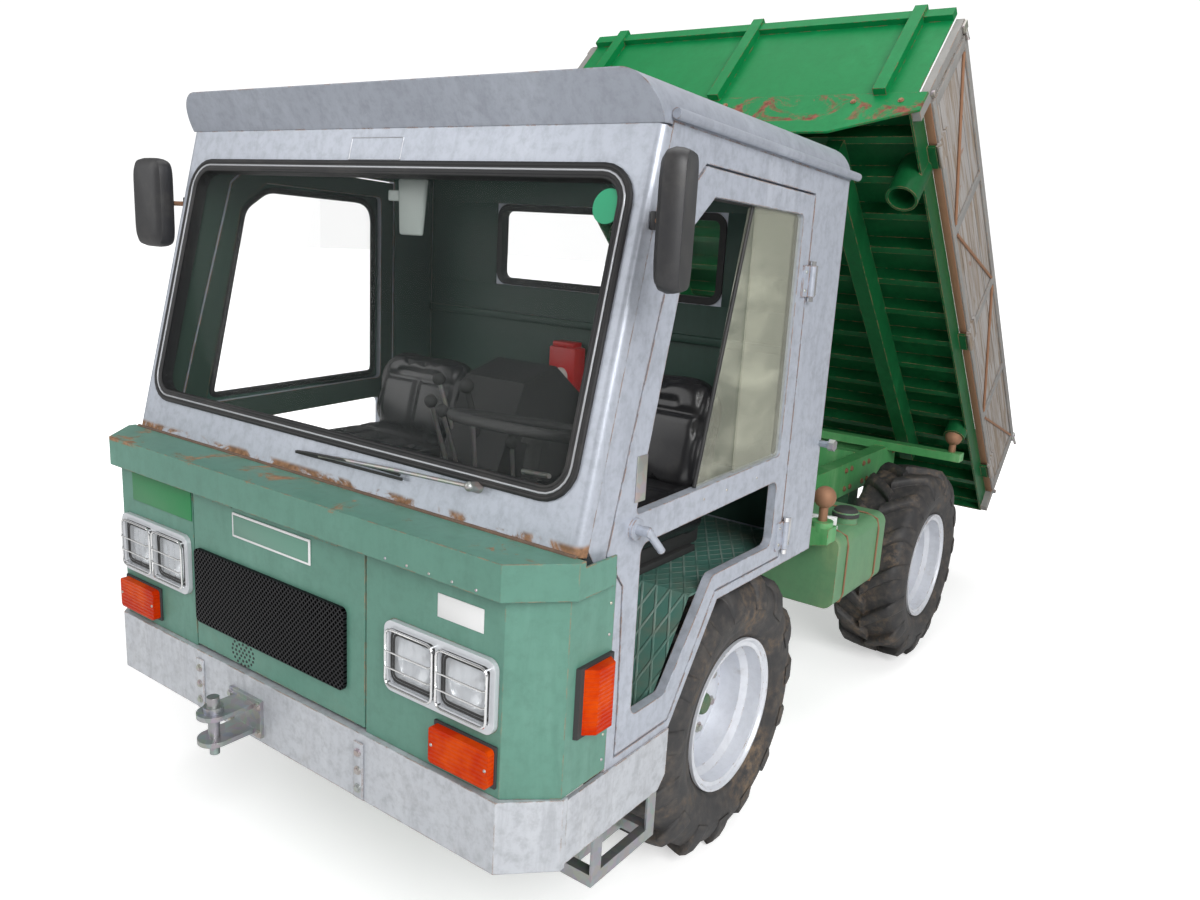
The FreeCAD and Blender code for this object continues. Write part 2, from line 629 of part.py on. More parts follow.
def make_skirts():
    """Side skirts from the bumper back to the wheel arch."""
    x = CAB_HALF_WIDTH
    top = ARCH_KNEE_Z + 4 - SEAT
    outline = [(106, BUMPER_BOTTOM_Z), (ARCH_FRONT_Y - 30, BUMPER_BOTTOM_Z), (ARCH_FRONT_Y, BUMPER_BOTTOM_Z + 30),
               (ARCH_FRONT_Y, top), (106, top)]
    return both_sides(plate_x(outline, x - 6, x + 4))


def screen_back(z):
    """Station just behind the screen frame at a height."""
    lean = math.radians(SCREEN_LEAN)
    return SCREEN_BOTTOM_Y + (z - SCREEN_BOTTOM_Z) * math.tan(lean) + SCREEN_FRAME / math.cos(lean) + SEAT


def side_outline():
    """Outline of the side frame, from the sill round the screen pillar and the roof line."""
    top_y = screen_back(GUTTER_FRONT_Z)
    return [
        (241, ARCH_KNEE_Z + 4), (ARCH_FRONT_Y + 4, ARCH_KNEE_Z + 4), (ARCH_TOP_Y, SILL_Z), (CAB_REAR_Y, SILL_Z),
        (CAB_REAR_Y, roof_line(CAB_REAR_Y) - SEAT), (top_y, roof_line(top_y) - SEAT),
        (screen_back(SCREEN_BOTTOM_Z + 6), SCREEN_BOTTOM_Z + 6), (214, BROW_BOTTOM_Z - 30), (241, 720),
    ]


def door_outline(inset):
    """Door outline, shrunk by the inset on every side."""
    d = inset
    return [
        (276 + d, ARCH_KNEE_Z + ARCH_TRIM + d), (ARCH_FRONT_Y - 2 - d, ARCH_KNEE_Z + ARCH_TRIM + d),
        (ARCH_TOP_Y - 14 - d * 0.5, SILL_Z + ARCH_TRIM + d), (DOOR_REAR_Y - d, SILL_Z + ARCH_TRIM + d),
        (DOOR_REAR_Y - d, 1823 - d), (482 + d * 0.4, 1848 - d), (405 + d * 1.1, 1778 - d * 0.6),
        (265 + d, 1293), (199 + d * 1.1, 1054), (265 + d, 972), (276 + d, 707),
    ]


def window_outline(inset):
    """Upper window opening of the door."""
    d = inset
    return [(300 + d * 1.2, 1121 + d), (986 - d, 1143 + d), (986 - d, 1768 - d), (530 + d * 0.5, 1783 - d),
            (443 + d * 1.1, 1716 - d * 0.6)]


def low_opening_outline():
    """Lower opening of the door that shows the floor."""
    return [(334, 644), (ARCH_FRONT_Y - 26, 644), (ARCH_TOP_Y - 34, SILL_Z + 72), (986, SILL_Z + 72), (986, 1074),
            (330, 1050)]


def make_side(side):
    """Side frame of the cab round the door opening."""
    x0 = side * (CAB_HALF_WIDTH - CAB_WALL)
    x1 = side * CAB_HALF_WIDTH
    frame = plate_x(side_outline(), min(x0, x1), max(x0, x1))
    return frame.cut(plate_x(door_outline(0), min(x0, x1) - 1, max(x0, x1) + 1))


def make_door(side):
    """Rear-hung door: one pressed frame with two openings, hinge barrels on its rear edge."""
    x0 = side * (CAB_HALF_WIDTH - CAB_WALL)
    x1 = side * CAB_HALF_WIDTH
    low, high = min(x0, x1), max(x0, x1)
    door = plate_x(door_outline(GAP), low, high)
    door = door.cut(rounded_x(window_outline(0), 14, low - 1, high + 1))
    door = door.cut(rounded_x(low_opening_outline(), 26, low - 1, high + 1))
    pieces = [door]
    for z in (1562, 868):
        pieces.append(Part.makeCylinder(HINGE_RADIUS, 80, Vector(side * DOOR_HINGE_X, DOOR_HINGE_Y, z),
                                        Vector(0, 0, 1)))
        leaf = [side * CAB_HALF_WIDTH, side * (CAB_HALF_WIDTH + 5)]
        pieces.append(box(min(leaf), max(leaf), DOOR_HINGE_Y - 40, DOOR_HINGE_Y - 2, z, z + 80))
    return fused(pieces)


def make_door_glass(side):
    """Two sliding panes, both pushed to the rear of the window."""
    opening = window_outline(SEAT)
    panes = []
    for depth, front_edge, rear_y in ((15, [(560, 1100), (728, 1800)], 960), (8, [(742, 1100), (742, 1800)], 1000)):
        x = side * (CAB_HALF_WIDTH - depth)
        low, high = min(x, x - side * 5), max(x, x - side * 5)
        whole = rounded_x(opening, 14, low, high)
        keep = plate_x(front_edge + [(rear_y, 1800), (rear_y, 1100)], low - 1, high + 1)
        panes.append(whole.common(keep))
    return Part.makeCompound(panes)


def make_handle(side):
    """Outside lever handle on its round base."""
    x = side * CAB_HALF_WIDTH
    out = Vector(side, 0, 0)
    base = Part.makeCylinder(24, 8, Vector(x, 300, 1092), out)
    neck = Part.makeCylinder(11, 34, Vector(x + side * 6, 300, 1092), out)
    lever = rod(Vector(x + side * 34, 296, 1098), Vector(x + side * 38, 352, 1040), 9)
    return fused([base, neck, lever])


def make_screen_panel():
    """Leaning front frame round the windscreen."""
    panel = box(-CAB_HALF_WIDTH, CAB_HALF_WIDTH, 0, SCREEN_FRAME, 0, SCREEN_LENGTH)
    edges = [e for e in panel.Edges if abs(e.CenterOfMass.x) > CAB_HALF_WIDTH - 1 and e.CenterOfMass.y < 1
             and abs(e.tangentAt(e.FirstParameter).z) > 0.9]
    panel = panel.makeFillet(18, edges)
    top = SCREEN_LENGTH - SCREEN_HEAD
    hole = rounded_y(corners(-SCREEN_HALF_WIDTH, SCREEN_HALF_WIDTH, SCREEN_SILL, top), SCREEN_CORNER, -1, 31)
    return on_screen(panel.cut(hole))


def make_screen_seal():
    """Rubber seal in the windscreen opening."""
    top = SCREEN_LENGTH - SCREEN_HEAD
    half = SCREEN_HALF_WIDTH
    outer = rounded_y(corners(-half, half, SCREEN_SILL, top), SCREEN_CORNER, -6, 30)
    w = SEAL_WIDTH
    inner = rounded_y(corners(-half + w, half - w, SCREEN_SILL + w, top - w), SCREEN_CORNER - w, -7, 31)
    return on_screen(outer.cut(inner))


def make_screen_glass():
    """Windscreen pane."""
    top = SCREEN_LENGTH - SCREEN_HEAD
    w = SEAL_WIDTH
    half = SCREEN_HALF_WIDTH
    pane = rounded_y(corners(-half + w, half - w, SCREEN_SILL + w, top - w), SCREEN_CORNER - w, 8, 8 + GLASS)
    return on_screen(pane)


def roof_section(shrink, drop, start):
    """Cross-section of the roof: straight sides from the start height, round shoulders, flat top."""
    half = CAB_HALF_WIDTH - shrink
    r = ROOF_CORNER - shrink
    top = ROOF_RISE - drop
    k = r * (1 - math.cos(math.pi / 4))
    arc_r = Part.Arc(Vector(half, 0, top - r), Vector(half - k, 0, top - k), Vector(half - r, 0, top)).toShape()
    arc_l = Part.Arc(Vector(-half + r, 0, top), Vector(-half + k, 0, top - k), Vector(-half, 0, top - r)).toShape()
    wire = Part.Wire([
        Part.LineSegment(Vector(-half, 0, start), Vector(half, 0, start)).toShape(),
        Part.LineSegment(Vector(half, 0, start), Vector(half, 0, top - r)).toShape(), arc_r,
        Part.LineSegment(Vector(half - r, 0, top), Vector(-half + r, 0, top)).toShape(), arc_l,
        Part.LineSegment(Vector(-half, 0, top - r), Vector(-half, 0, start)).toShape(),
    ])
    return Part.Face(wire)


def roof_fall():
    """Fall of the roof per millimetre toward the rear."""
    return (GUTTER_FRONT_Z - GUTTER_REAR_Z) / (CAB_REAR_Y - SCREEN_TOP_Y)


def roof_line(y):
    """Height of the roof's lower edge at a station."""
    return GUTTER_FRONT_Z - roof_fall() * (y - SCREEN_TOP_Y)


def make_roof():
    """Roof shell with a forward-leaning visor face at the front."""
    fall = roof_fall()
    y0 = SCREEN_TOP_Y - VISOR_REACH - 30
    y1 = CAB_REAR_Y + 6
    outer = roof_section(0, 0, -40)
    outer.translate(Vector(0, y0, roof_line(y0)))
    shell = outer.extrude(Vector(0, y1 - y0, -fall * (y1 - y0)))
    inner = roof_section(ROOF_WALL, ROOF_WALL, -40)
    inner.translate(Vector(0, y0 - 10, roof_line(y0 - 10)))
    y2 = CAB_REAR_Y + 20
    hollow = inner.extrude(Vector(0, y2 - y0 + 10, -fall * (y2 - y0 + 10)))
    visor_back = plate_x([(SCREEN_TOP_Y + 18, SCREEN_TOP_Z - 60), (SCREEN_TOP_Y + 18, SCREEN_TOP_Z),
                          (SCREEN_TOP_Y + 18 - VISOR_REACH, SCREEN_TOP_Z + ROOF_RISE + 8),
                          (0, SCREEN_TOP_Z + 250), (0, SCREEN_TOP_Z - 60)], -900, 900)
    visor_face = plate_x([(SCREEN_TOP_Y, SCREEN_TOP_Z - 60), (SCREEN_TOP_Y, SCREEN_TOP_Z),
                          (SCREEN_TOP_Y - VISOR_REACH, SCREEN_TOP_Z + ROOF_RISE + 8),
                          (SCREEN_TOP_Y - VISOR_REACH - 20, SCREEN_TOP_Z + 250), (0, SCREEN_TOP_Z + 250),
                          (0, SCREEN_TOP_Z - 60)], -900, 900)
    hollow = hollow.cut(visor_back)
    roof = shell.cut(visor_face).cut(hollow)
    step_y = screen_back(SCREEN_TOP_Z) - 2 * SEAT
    below = plate_x([(-200, SCREEN_TOP_Z + SEAT),
                     (step_y, SCREEN_TOP_Z + SEAT), (step_y, roof_line(step_y)), (CAB_REAR_Y + 60, roof_line(CAB_REAR_Y + 60)),
                     (CAB_REAR_Y + 60, 1500), (-200, 1500)], -900, 900)
    return roof.cut(below)


def make_gutters():
    """Rain gutters along both roof sides."""
    x = CAB_HALF_WIDTH + GUTTER_RADIUS
    y0 = SCREEN_TOP_Y + 22
    y1 = CAB_REAR_Y + 28
    z = GUTTER_RADIUS + 2
    gutter = rod(Vector(x, y0, roof_line(y0) + z), Vector(x, y1, roof_line(y1) + z), GUTTER_RADIUS)
    return both_sides(gutter)


def rear_window(inset):
    """Corner list of the rear window."""
    half = REAR_WINDOW_HALF - inset
    return corners(-half, half, 1500 + inset, 1770 - inset)


def make_rear_wall():
    """Rear wall with its window, closed up to the roof's inner face."""
    half = CAB_HALF_WIDTH - CAB_WALL - SEAT
    y0 = CAB_REAR_Y - CAB_WALL
    wall = box(-half, half, y0, CAB_REAR_Y, SILL_Z, roof_line(y0) + 10)
    head = roof_section(ROOF_WALL + SEAT, ROOF_WALL + SEAT, 0)
    head.translate(Vector(0, y0, roof_line(y0)))
    wall = fused([wall, head.extrude(Vector(0, CAB_WALL, -roof_fall() * CAB_WALL))])
    return wall.cut(rounded_y(rear_window(0), 45, y0 - 1, CAB_REAR_Y + 1))


def make_rear_seal():
    """Rubber frame of the rear window."""
    y0 = CAB_REAR_Y - CAB_WALL - 4
    ring = rounded_y(rear_window(0), 45, y0, CAB_REAR_Y + 4)
    return ring.cut(rounded_y(rear_window(22), 23, y0 - 1, CAB_REAR_Y + 5))


def make_rear_glass():
    """Pane of the rear window."""
    y = CAB_REAR_Y - CAB_WALL / 2
    return rounded_y(rear_window(22), 23, y - 3, y + 3)


def floor_line(offset):
    """Section of the floor from the toe board over the riser to the deck."""
    d = offset
    return [(TOE_BOARD_Y + d, SCREEN_BOTTOM_Z - 30), (TOE_BOARD_Y + d, FLOOR_Z + d), (RISER_FOOT_Y + d * 0.5, FLOOR_Z + d),
            (RISER_TOP_Y + d * 0.5, DECK_Z + d), (CAB_REAR_Y - CAB_WALL - 0.3, DECK_Z + d)]


def make_floor():
    """Cab floor: toe board, foot well, riser and deck over the wheels, in one bent sheet."""
    half = CAB_HALF_WIDTH - CAB_WALL - 0.3
    section = floor_line(0) + floor_line(SHEET)[::-1]
    sheet = plate_x(section, -half, half)
    pieces = [sheet]
    for side in (1, -1):
        x = side * (RAIL_HALF_FRONT + 12)
        pieces.append(plate_x([(RISER_FOOT_Y, FLOOR_Z + 1), (RISER_TOP_Y, DECK_Z + 1), (CAB_REAR_Y - 40, DECK_Z + 1),
                               (CAB_REAR_Y - 40, FLOOR_Z + 60), (RISER_FOOT_Y, FLOOR_Z - 40)],
                              min(x, x + side * 4), max(x, x + side * 4)))
    return fused(pieces)


# ---- cab inside ----
def make_dashboard():
    """Dash shelf with an instrument hood in front of the driver."""
    half = CAB_HALF_WIDTH - CAB_WALL - 0.3
    y0 = TOE_BOARD_Y + SHEET
    shelf = plate_x([(y0, 985), (y0 + 150, 960), (y0 + 170, 1035), (y0, SCREEN_BOTTOM_Z - 30)], -half, half)
    hood = plate_x([(y0 + 40, 1020), (y0 + 165, 1010), (y0 + 175, 1085), (y0 + 70, 1105)], 290, 550)
    return fused([shelf, hood])


def make_steering_column():
    """Steering column from the floor to the wheel."""
    foot, head = column_ends()
    shaft = rod(foot - (head - foot).normalize() * 20, head, 20)
    return shaft.cut(box(0, 2 * foot.x, 0, 2 * foot.y, 0, FLOOR_Z + SHEET))


def column_ends():
    """Lower and upper ends of the steering column."""
    return Vector(420, 300, FLOOR_Z + SHEET), Vector(420, 420, 1190)


def make_steering_wheel():
    """Steering wheel: rim, three spokes and hub."""
    foot, head = column_ends()
    axis = (head - foot).normalize()
    centre = head + axis * 40
    side = Vector(1, 0, 0)
    ahead = axis.cross(side)
    ring = Part.makeTorus(205, 13, centre, axis)
    hub = Part.makeCylinder(34, 38, head + axis * 0.3, axis)
    spokes = []
    for turn in (90, 210, 330):
        a = math.radians(turn)
        tip = centre + side * (200 * math.cos(a)) + ahead * (200 * math.sin(a))
        spokes.append(rod(head + axis * 22, tip, 8))
    return fused([ring, hub] + spokes)


def make_seat(x, y, height):
    """Plain closed solid of one seat: cushion and back."""
    base = box(x - 200, x + 200, y - 20, y + 380, DECK_Z + SHEET + 0.3, DECK_Z + SHEET + 50)
    cushion = box(x - 235, x + 235, y - 60, y + 400, DECK_Z + SHEET + 50, DECK_Z + SHEET + 165)
    back = plate_x([(y + 300, DECK_Z + SHEET + 120), (y + 400, DECK_Z + SHEET + 100), (y + 480, height),
                    (y + 400, height)], x - 225, x + 225)
    return fused([base, cushion, back])


def make_console():
    """Dark centre console with a lever block."""
    body = plate_x([(640, DECK_Z + SHEET + 0.3), (1080, DECK_Z + SHEET + 0.3), (1060, 1180), (900, 1300),
                    (760, 1260), (650, 1010)], -135, 95)
    lever = rod(Vector(-20, 700, 1080), Vector(-20, 640, 1250), 9)
    knob = Part.makeSphere(22, Vector(-20, 640, 1250))
    return fused([body, lever, knob])


# ---- outside fittings ----
def make_lamp_bezels():
    """Twin-headlamp bezels with open pockets."""
    bezels = []
    for side in (1, -1):
        outline = lamp_rect(side, 0)
        x0, x1 = outline[0][0], outline[1][0]
        outer = rounded_y(outline, 24, -12, 46)
        middle = (x0 + x1) / 2
        for a, b in ((x0 + 14, middle - 6), (middle + 6, x1 - 14)):
            outer = outer.cut(rounded_y(corners(a, b, 716, 847), 12, -13, 40))
        bezels.append(outer)
    return Part.makeCompound(bezels)


def make_lamp_glass():
    """Square headlamp glasses in the bezels' pockets."""
    panes = []
    for side in (1, -1):
        outline = lamp_rect(side, 0)
        x0, x1 = outline[0][0], outline[1][0]
        middle = (x0 + x1) / 2
        for a, b in ((x0 + 14, middle - 6), (middle + 6, x1 - 14)):
            panes.append(rounded_y(corners(a + 0.3, b - 0.3, 716.3, 846.7), 11.7, -6, 4))
    return Part.makeCompound(panes)


def make_indicators():
    """Amber front and corner indicators."""
    lamps = []
    for side in (1, -1):
        x0, x1 = min(side * 532, side * 700), max(side * 532, side * 700)
        lamps.append(rounded_y(corners(x0, x1, 588, 672), 10, -26, 0))
        a, b = side * CORNER_HALF_WIDTH, side * (CORNER_HALF_WIDTH + 32)
        lamps.append(plate_z([(a, 120), (b, 150), (b, 205), (a, 226)], 690, 835))
    return Part.makeCompound(lamps)


def make_mirror(side):
    """Outside mirror head on its arm, clamped beside the screen pillar."""
    turn = MIRROR_LEFT_TURN if side > 0 else MIRROR_RIGHT_TURN
    a = math.radians(turn)
    half = MIRROR_THICKNESS / 2 * abs(math.cos(a)) + MIRROR_WIDTH / 2 * abs(math.sin(a))
    centre = Vector(side * (MIRROR_REACH - half), 165 if side > 0 else 235, 1722 if side > 0 else 1705)
    head = box(-MIRROR_THICKNESS / 2, MIRROR_THICKNESS / 2, -MIRROR_WIDTH / 2, MIRROR_WIDTH / 2,
               -MIRROR_HEIGHT / 2, MIRROR_HEIGHT / 2)
    head = head.makeFillet(20, [e for e in head.Edges if abs(e.tangentAt(e.FirstParameter).x) > 0.9])
    head.rotate(Vector(0, 0, 0), Vector(0, 0, 1), turn)
    head.translate(centre)
    seat_x = side * (CAB_HALF_WIDTH + SEAT)
    clamp = box(min(seat_x, seat_x + side * 16), max(seat_x, seat_x + side * 16), 276, 312, centre.z - 16, centre.z + 20)
    arm = rod(Vector(seat_x + side * 9, 290, centre.z + 2), centre, 8)
    return fused([head, clamp, arm])


def make_steps():
    """Hanging step frame under one skirt."""
    y0, y1 = 228, 486
    x0, x1 = CAB_HALF_WIDTH - 106, CAB_HALF_WIDTH - 6
    low = 262
    frame = box(x0, x1, y0, y1, low, low + 30)
    pieces = [frame.cut(box(x0 + 24, x1 - 24, y0 + 30, y1 - 30, low - 1, low + 31))]
    for y in (y0, y1 - 36):
        pieces.append(box(x1 - 6, x1, y, y + 36, low + 10, BUMPER_BOTTOM_Z + 60))
    return fused(pieces)


# ---- bed (drawn lowered, then tipped) ----
def make_bed_frame():
    """Bed floor on cross ribs and two long rails, with cups over the support balls."""
    half = BED_HALF_WIDTH - BOARD_THICKNESS
    top = BED_FLOOR_Z
    floor = box(-half, half, BED_FRONT_Y, BED_REAR_Y, top - FLOOR_SHEET, top)
    pieces = [floor]
    pitch = (BED_LENGTH - 160) / (RIB_COUNT - 1)
    for i in range(RIB_COUNT):
        y = BED_FRONT_Y + 120 + i * pitch
        pieces.append(box(-half, half, y - 4, y + 4, top - RIB_DEPTH, top - FLOOR_SHEET))
        pieces.append(box(-half, half, y - 4, y + 26, top - RIB_DEPTH - 4, top - RIB_DEPTH))
    rail_top = top - RIB_DEPTH
    for side in (1, -1):
        x0, x1 = side * BED_RAIL_X, side * (BED_RAIL_X + BED_RAIL_WIDTH)
        pieces.append(box(min(x0, x1), max(x0, x1), BED_FRONT_Y + 130, BED_REAR_Y - BED_RAIL_REAR,
                          rail_top - BED_RAIL_DEPTH, rail_top))
        edge = side * half
        pieces.append(box(min(edge, edge - side * 8), max(edge, edge - side * 8), BED_FRONT_Y, BED_REAR_Y,
                          top - 90, top - FLOOR_SHEET))
        for y in board_hinge_stations():
            lug_end = side * (BOARD_HINGE_X - BOARD_BARREL - SEAT)
            pieces.append(box(min(edge, lug_end), max(edge, lug_end), y, y + HINGE_LENGTH, top - 18, top - 6))
    pieces.append(box(-half, half, BED_REAR_Y - 8, BED_REAR_Y, top - 90, top - FLOOR_SHEET))
    for x in gate_hinge_stations():
        pieces.append(box(x, x + HINGE_LENGTH, BED_REAR_Y, GATE_HINGE_Y - BOARD_BARREL - SEAT, top - 18, top - 6))
    return fused(pieces)


def board_hinge_stations():
    """Front end of each side-board hinge."""
    first = BED_FRONT_Y + 200
    last = BED_REAR_Y - 200 - HINGE_LENGTH
    return [first, (first + last) / 2, last]


def gate_hinge_stations():
    """Right end of each tailgate hinge."""
    reach = BED_HALF_WIDTH - BOARD_THICKNESS - 200
    return [-reach, reach - HINGE_LENGTH]


def make_bed_cups():
    """Cups over the four support balls: round sockets at the pivot, deep open cups in front."""
    top = BED_FLOOR_Z - FLOOR_SHEET
    up = Vector(0, 0, 1)
    pieces = []
    for side in (1, -1):
        pivot = Vector(side * BALL_X, PIVOT_Y, PIVOT_Z)
        socket = Part.makeCylinder(BALL_RADIUS + SEAT + CUP_WALL, top - PIVOT_Z, pivot, up)
        pieces.append(socket.cut(Part.makeSphere(BALL_RADIUS + SEAT, pivot)))
        foot = Vector(side * BALL_X, SUPPORT_Y, PIVOT_Z - CUP_DEPTH)
        inner = BALL_RADIUS + CUP_CLEARANCE
        cup = Part.makeCylinder(inner + CUP_WALL, top - foot.z, foot, up)
        pieces.append(cup.cut(Part.makeCylinder(inner, 2 * CUP_DEPTH, foot, up)))
    return pieces


def make_front_beam():
    """Deep front beam of the bed, tapered to its ends."""
    top = BED_FLOOR_Z
    half = BED_HALF_WIDTH
    y0 = BED_FRONT_Y
    outline = [(-half, top), (half, top), (half, top - 87), (500, top - 185), (-500, top - 185), (-half, top - 87)]
    face = plate_y(outline, y0 - 8, y0)
    return face


def make_headboard():
    """Headboard sheet with a folded top rail and three posts."""
    half = BED_HALF_WIDTH - BOARD_THICKNESS - GAP
    top = BED_FLOOR_Z
    y0 = BED_FRONT_Y
    sheet = box(-half, half, y0 - 4, y0, top, top + HEADBOARD_HEIGHT)
    rail = box(-half, half, y0 - 26, y0, top + HEADBOARD_HEIGHT - 40, top + HEADBOARD_HEIGHT)
    posts = [box(x - 22, x + 22, y0 - 34, y0, top - 10, top + HEADBOARD_HEIGHT + 18) for x in (-620, 0, 620)]
    return fused([sheet, rail, make_front_beam()] + posts)


def make_corner_posts():
    """Corner posts that the side boards latch to."""
    pieces = []
    top = BED_FLOOR_Z
    for side in (1, -1):
        for y0, y1 in ((BED_FRONT_Y, BED_FRONT_Y + 36), (BED_REAR_Y - 40, BED_REAR_Y - 4)):
            x0, x1 = side * (BED_HALF_WIDTH - BOARD_THICKNESS), side * BED_HALF_WIDTH
            pieces.append(box(min(x0, x1), max(x0, x1), y0, y1, top - 88, top + BOARD_HEIGHT + 14))
    return Part.makeCompound(pieces)


def make_side_board(side):
    """Drop side board with straps down to its hinge barrels."""
    top = BED_FLOOR_Z
    inner, outer = side * (BED_HALF_WIDTH - BOARD_THICKNESS), side * BED_HALF_WIDTH
    y0, y1 = BED_FRONT_Y + 36 + GAP, BED_REAR_Y - 40 - GAP
    pieces = [box(min(inner, outer), max(inner, outer), y0, y1, top + GAP, top + BOARD_HEIGHT)]
    for y in board_hinge_stations():
        strap = outer + side * 10
        pieces.append(box(min(outer, strap), max(outer, strap), y, y + HINGE_LENGTH, top - 1, top + 90))
        pieces.append(Part.makeCylinder(BOARD_BARREL, HINGE_LENGTH, Vector(side * BOARD_HINGE_X, y, BOARD_HINGE_Z),
                                        Vector(0, 1, 0)))
    return fused(pieces)


def make_tailgate():
    """Rear board between the corner posts, with straps down to its hinge barrels."""
    half = BED_HALF_WIDTH - BOARD_THICKNESS - GAP
    top = BED_FLOOR_Z
    pieces = [box(-half, half, BED_REAR_Y - BOARD_THICKNESS, BED_REAR_Y, top + GAP, top + BOARD_HEIGHT)]
    for x in gate_hinge_stations():
        pieces.append(box(x, x + HINGE_LENGTH, BED_REAR_Y, BED_REAR_Y + 10, top - 1, top + 90))
        pieces.append(Part.makeCylinder(BOARD_BARREL, HINGE_LENGTH, Vector(x, GATE_HINGE_Y, BOARD_HINGE_Z),
                                        Vector(1, 0, 0)))
    return fused(pieces)


def cylinder_eye():
    """Rod eye's centre with the bed tipped."""
    a = math.radians(TIP_ANGLE)
    back = CYLINDER_EYE_REACH
    drop = CYLINDER_EYE_DROP
    return Vector(0, PIVOT_Y - back * math.cos(a) - drop * math.sin(a),
                  PIVOT_Z + back * math.sin(a) - drop * math.cos(a))


def cylinder_lengths():
    """Distance from foot to eye with the bed tipped and lowered."""
    foot = Vector(0, CYLINDER_FOOT_Y, CYLINDER_FOOT_Z)
    low_eye = Vector(0, PIVOT_Y - CYLINDER_EYE_REACH, PIVOT_Z - CYLINDER_EYE_DROP)
    return (cylinder_eye() - foot).Length, (low_eye - foot).Length


def make_cylinder_body():
    """Tipping cylinder barrel with its foot eye."""
    foot = Vector(0, CYLINDER_FOOT_Y, CYLINDER_FOOT_Z)
    run = (cylinder_eye() - foot).normalize()
    length = cylinder_lengths()[1] - 62
    barrel = Part.makeCylinder(CYLINDER_RADIUS, length - 45, foot + run * 45, run)
    bore = Part.makeCylinder(ROD_RADIUS + ROD_FIT, length, foot + run * 75, run)
    eye = Part.makeCylinder(30, 2 * CYLINDER_RADIUS, foot - Vector(CYLINDER_RADIUS, 0, 0), Vector(1, 0, 0))
    neck = Part.makeCylinder(22, 60, foot, run)
    pin_hole = Part.makeCylinder(14.05, 4 * CYLINDER_RADIUS, foot - Vector(2 * CYLINDER_RADIUS, 0, 0), Vector(1, 0, 0))
    return fused([barrel, eye, neck]).cut(bore).cut(pin_hole)


def make_cylinder_rod():
    """Tipping cylinder rod with its eye."""
    foot = Vector(0, CYLINDER_FOOT_Y, CYLINDER_FOOT_Z)
    eye_at = cylinder_eye()
    run = (eye_at - foot).normalize()
    open_length, shut_length = cylinder_lengths()
    start = open_length - shut_length + 80
    shaft = Part.makeCylinder(ROD_RADIUS, open_length - start, foot + run * start, run)
    eye = Part.makeCylinder(32, 50, eye_at - Vector(25, 0, 0), Vector(1, 0, 0))
    hole = Part.makeCylinder(16, 60, eye_at - Vector(30, 0, 0), Vector(1, 0, 0))
    return fused([shaft, eye]).cut(hole)


def make_cylinder_cheeks():
    """Two cheeks under the bed that face the rod's eye."""
    y = PIVOT_Y - CYLINDER_EYE_REACH
    z = PIVOT_Z - CYLINDER_EYE_DROP
    top = BED_FLOOR_Z - FLOOR_SHEET
    cheeks = []
    for side in (1, -1):
        x = side * (25 + GAP)
        cheeks.append(plate_x([(y - 150, top), (y + 150, top), (y + 60, z - 36), (y - 60, z - 36)],
                              min(x, x + side * 12), max(x, x + side * 12)))
    return cheeks


# ---- assembly ----
for name, (side, axle_y) in WHEEL_PLACES.items():
    parts["rim_" + name] = make_rim(side, axle_y)
    parts["tyre_" + name] = make_tyre(side, axle_y)
for name, side in (("left", 1), ("right", -1)):
    parts["knuckle_" + name] = make_knuckle(side)
    parts["door_" + name] = fused([make_door(side), make_handle(side)])
    parts["door_glass_" + name] = make_door_glass(side)
    parts["bed_side_board_" + name] = tipped(make_side_board(side))
parts["cab_sides"] = Part.makeCompound([make_side(1), make_side(-1)])
parts["mirrors"] = Part.makeCompound([make_mirror(1), make_mirror(-1)])
parts["front_axle"] = make_front_axle()
parts["rear_axle"] = make_rear_axle()
parts["tie_rod"] = make_tie_rod()
parts["front_frame"] = make_front_frame()
parts["chassis"] = make_chassis()
parts["support_balls"] = make_balls()
parts["engine"] = make_engine()
parts["transmission"] = make_transmission()
parts["fuel_tank"] = make_tank()
parts["tow_bracket"] = make_tow_bracket()
parts["front_panels"] = make_front_panels()
parts["front_hatch"] = make_hatch()
parts["grille"] = make_grille()
parts["brow"] = make_brow()
parts["bumper"] = make_bumper()
parts["side_skirts"] = make_skirts()
parts["screen_panel"] = make_screen_panel()
parts["window_seals"] = Part.makeCompound([make_screen_seal(), make_rear_seal()])
parts["window_glass"] = Part.makeCompound([make_screen_glass(), make_rear_glass()])
parts["roof"] = make_roof()
parts["gutters"] = make_gutters()
parts["rear_wall"] = make_rear_wall()
parts["cab_floor"] = make_floor()
parts["dashboard"] = make_dashboard()
parts["steering_column"] = make_steering_column()
parts["steering_wheel"] = make_steering_wheel()
parts["driver_seat"] = make_seat(420, 560, 1345)
parts["passenger_seat"] = make_seat(-440, 500, 1290)
parts["console"] = make_console()
parts["headlamp_bezels"] = make_lamp_bezels()
parts["headlamp_glass"] = make_lamp_glass()
parts["indicators"] = make_indicators()
parts["cab_steps"] = both_sides(make_steps())
parts["bed_frame"] = tipped(fused([make_bed_frame()] + make_cylinder_cheeks() + make_bed_cups()))
parts["bed_headboard"] = tipped(make_headboard())
parts["bed_corner_posts"] = tipped(make_corner_posts())
parts["bed_tailgate"] = tipped(make_tailgate())
parts["cylinder_body"] = make_cylinder_body()
parts["cylinder_rod"] = make_cylinder_rod()

whole = Part.makeCompound(list(parts.values())).optimalBoundingBox(False)
middle_y = (whole.YMin + whole.YMax) / 2

if __name__ == "__main__":
    os.makedirs("parts", exist_ok=True)
    for name, shape in parts.items():
        placed = shape.copy()
        placed.translate(Vector(0, -middle_y, 0))
        placed.exportStep("parts/" + name + ".step")
        print(name, "solids", len(placed.Solids), "valid", placed.isValid(), round(placed.Volume / 1e6, 2))
    print("box", whole, "middle", middle_y)
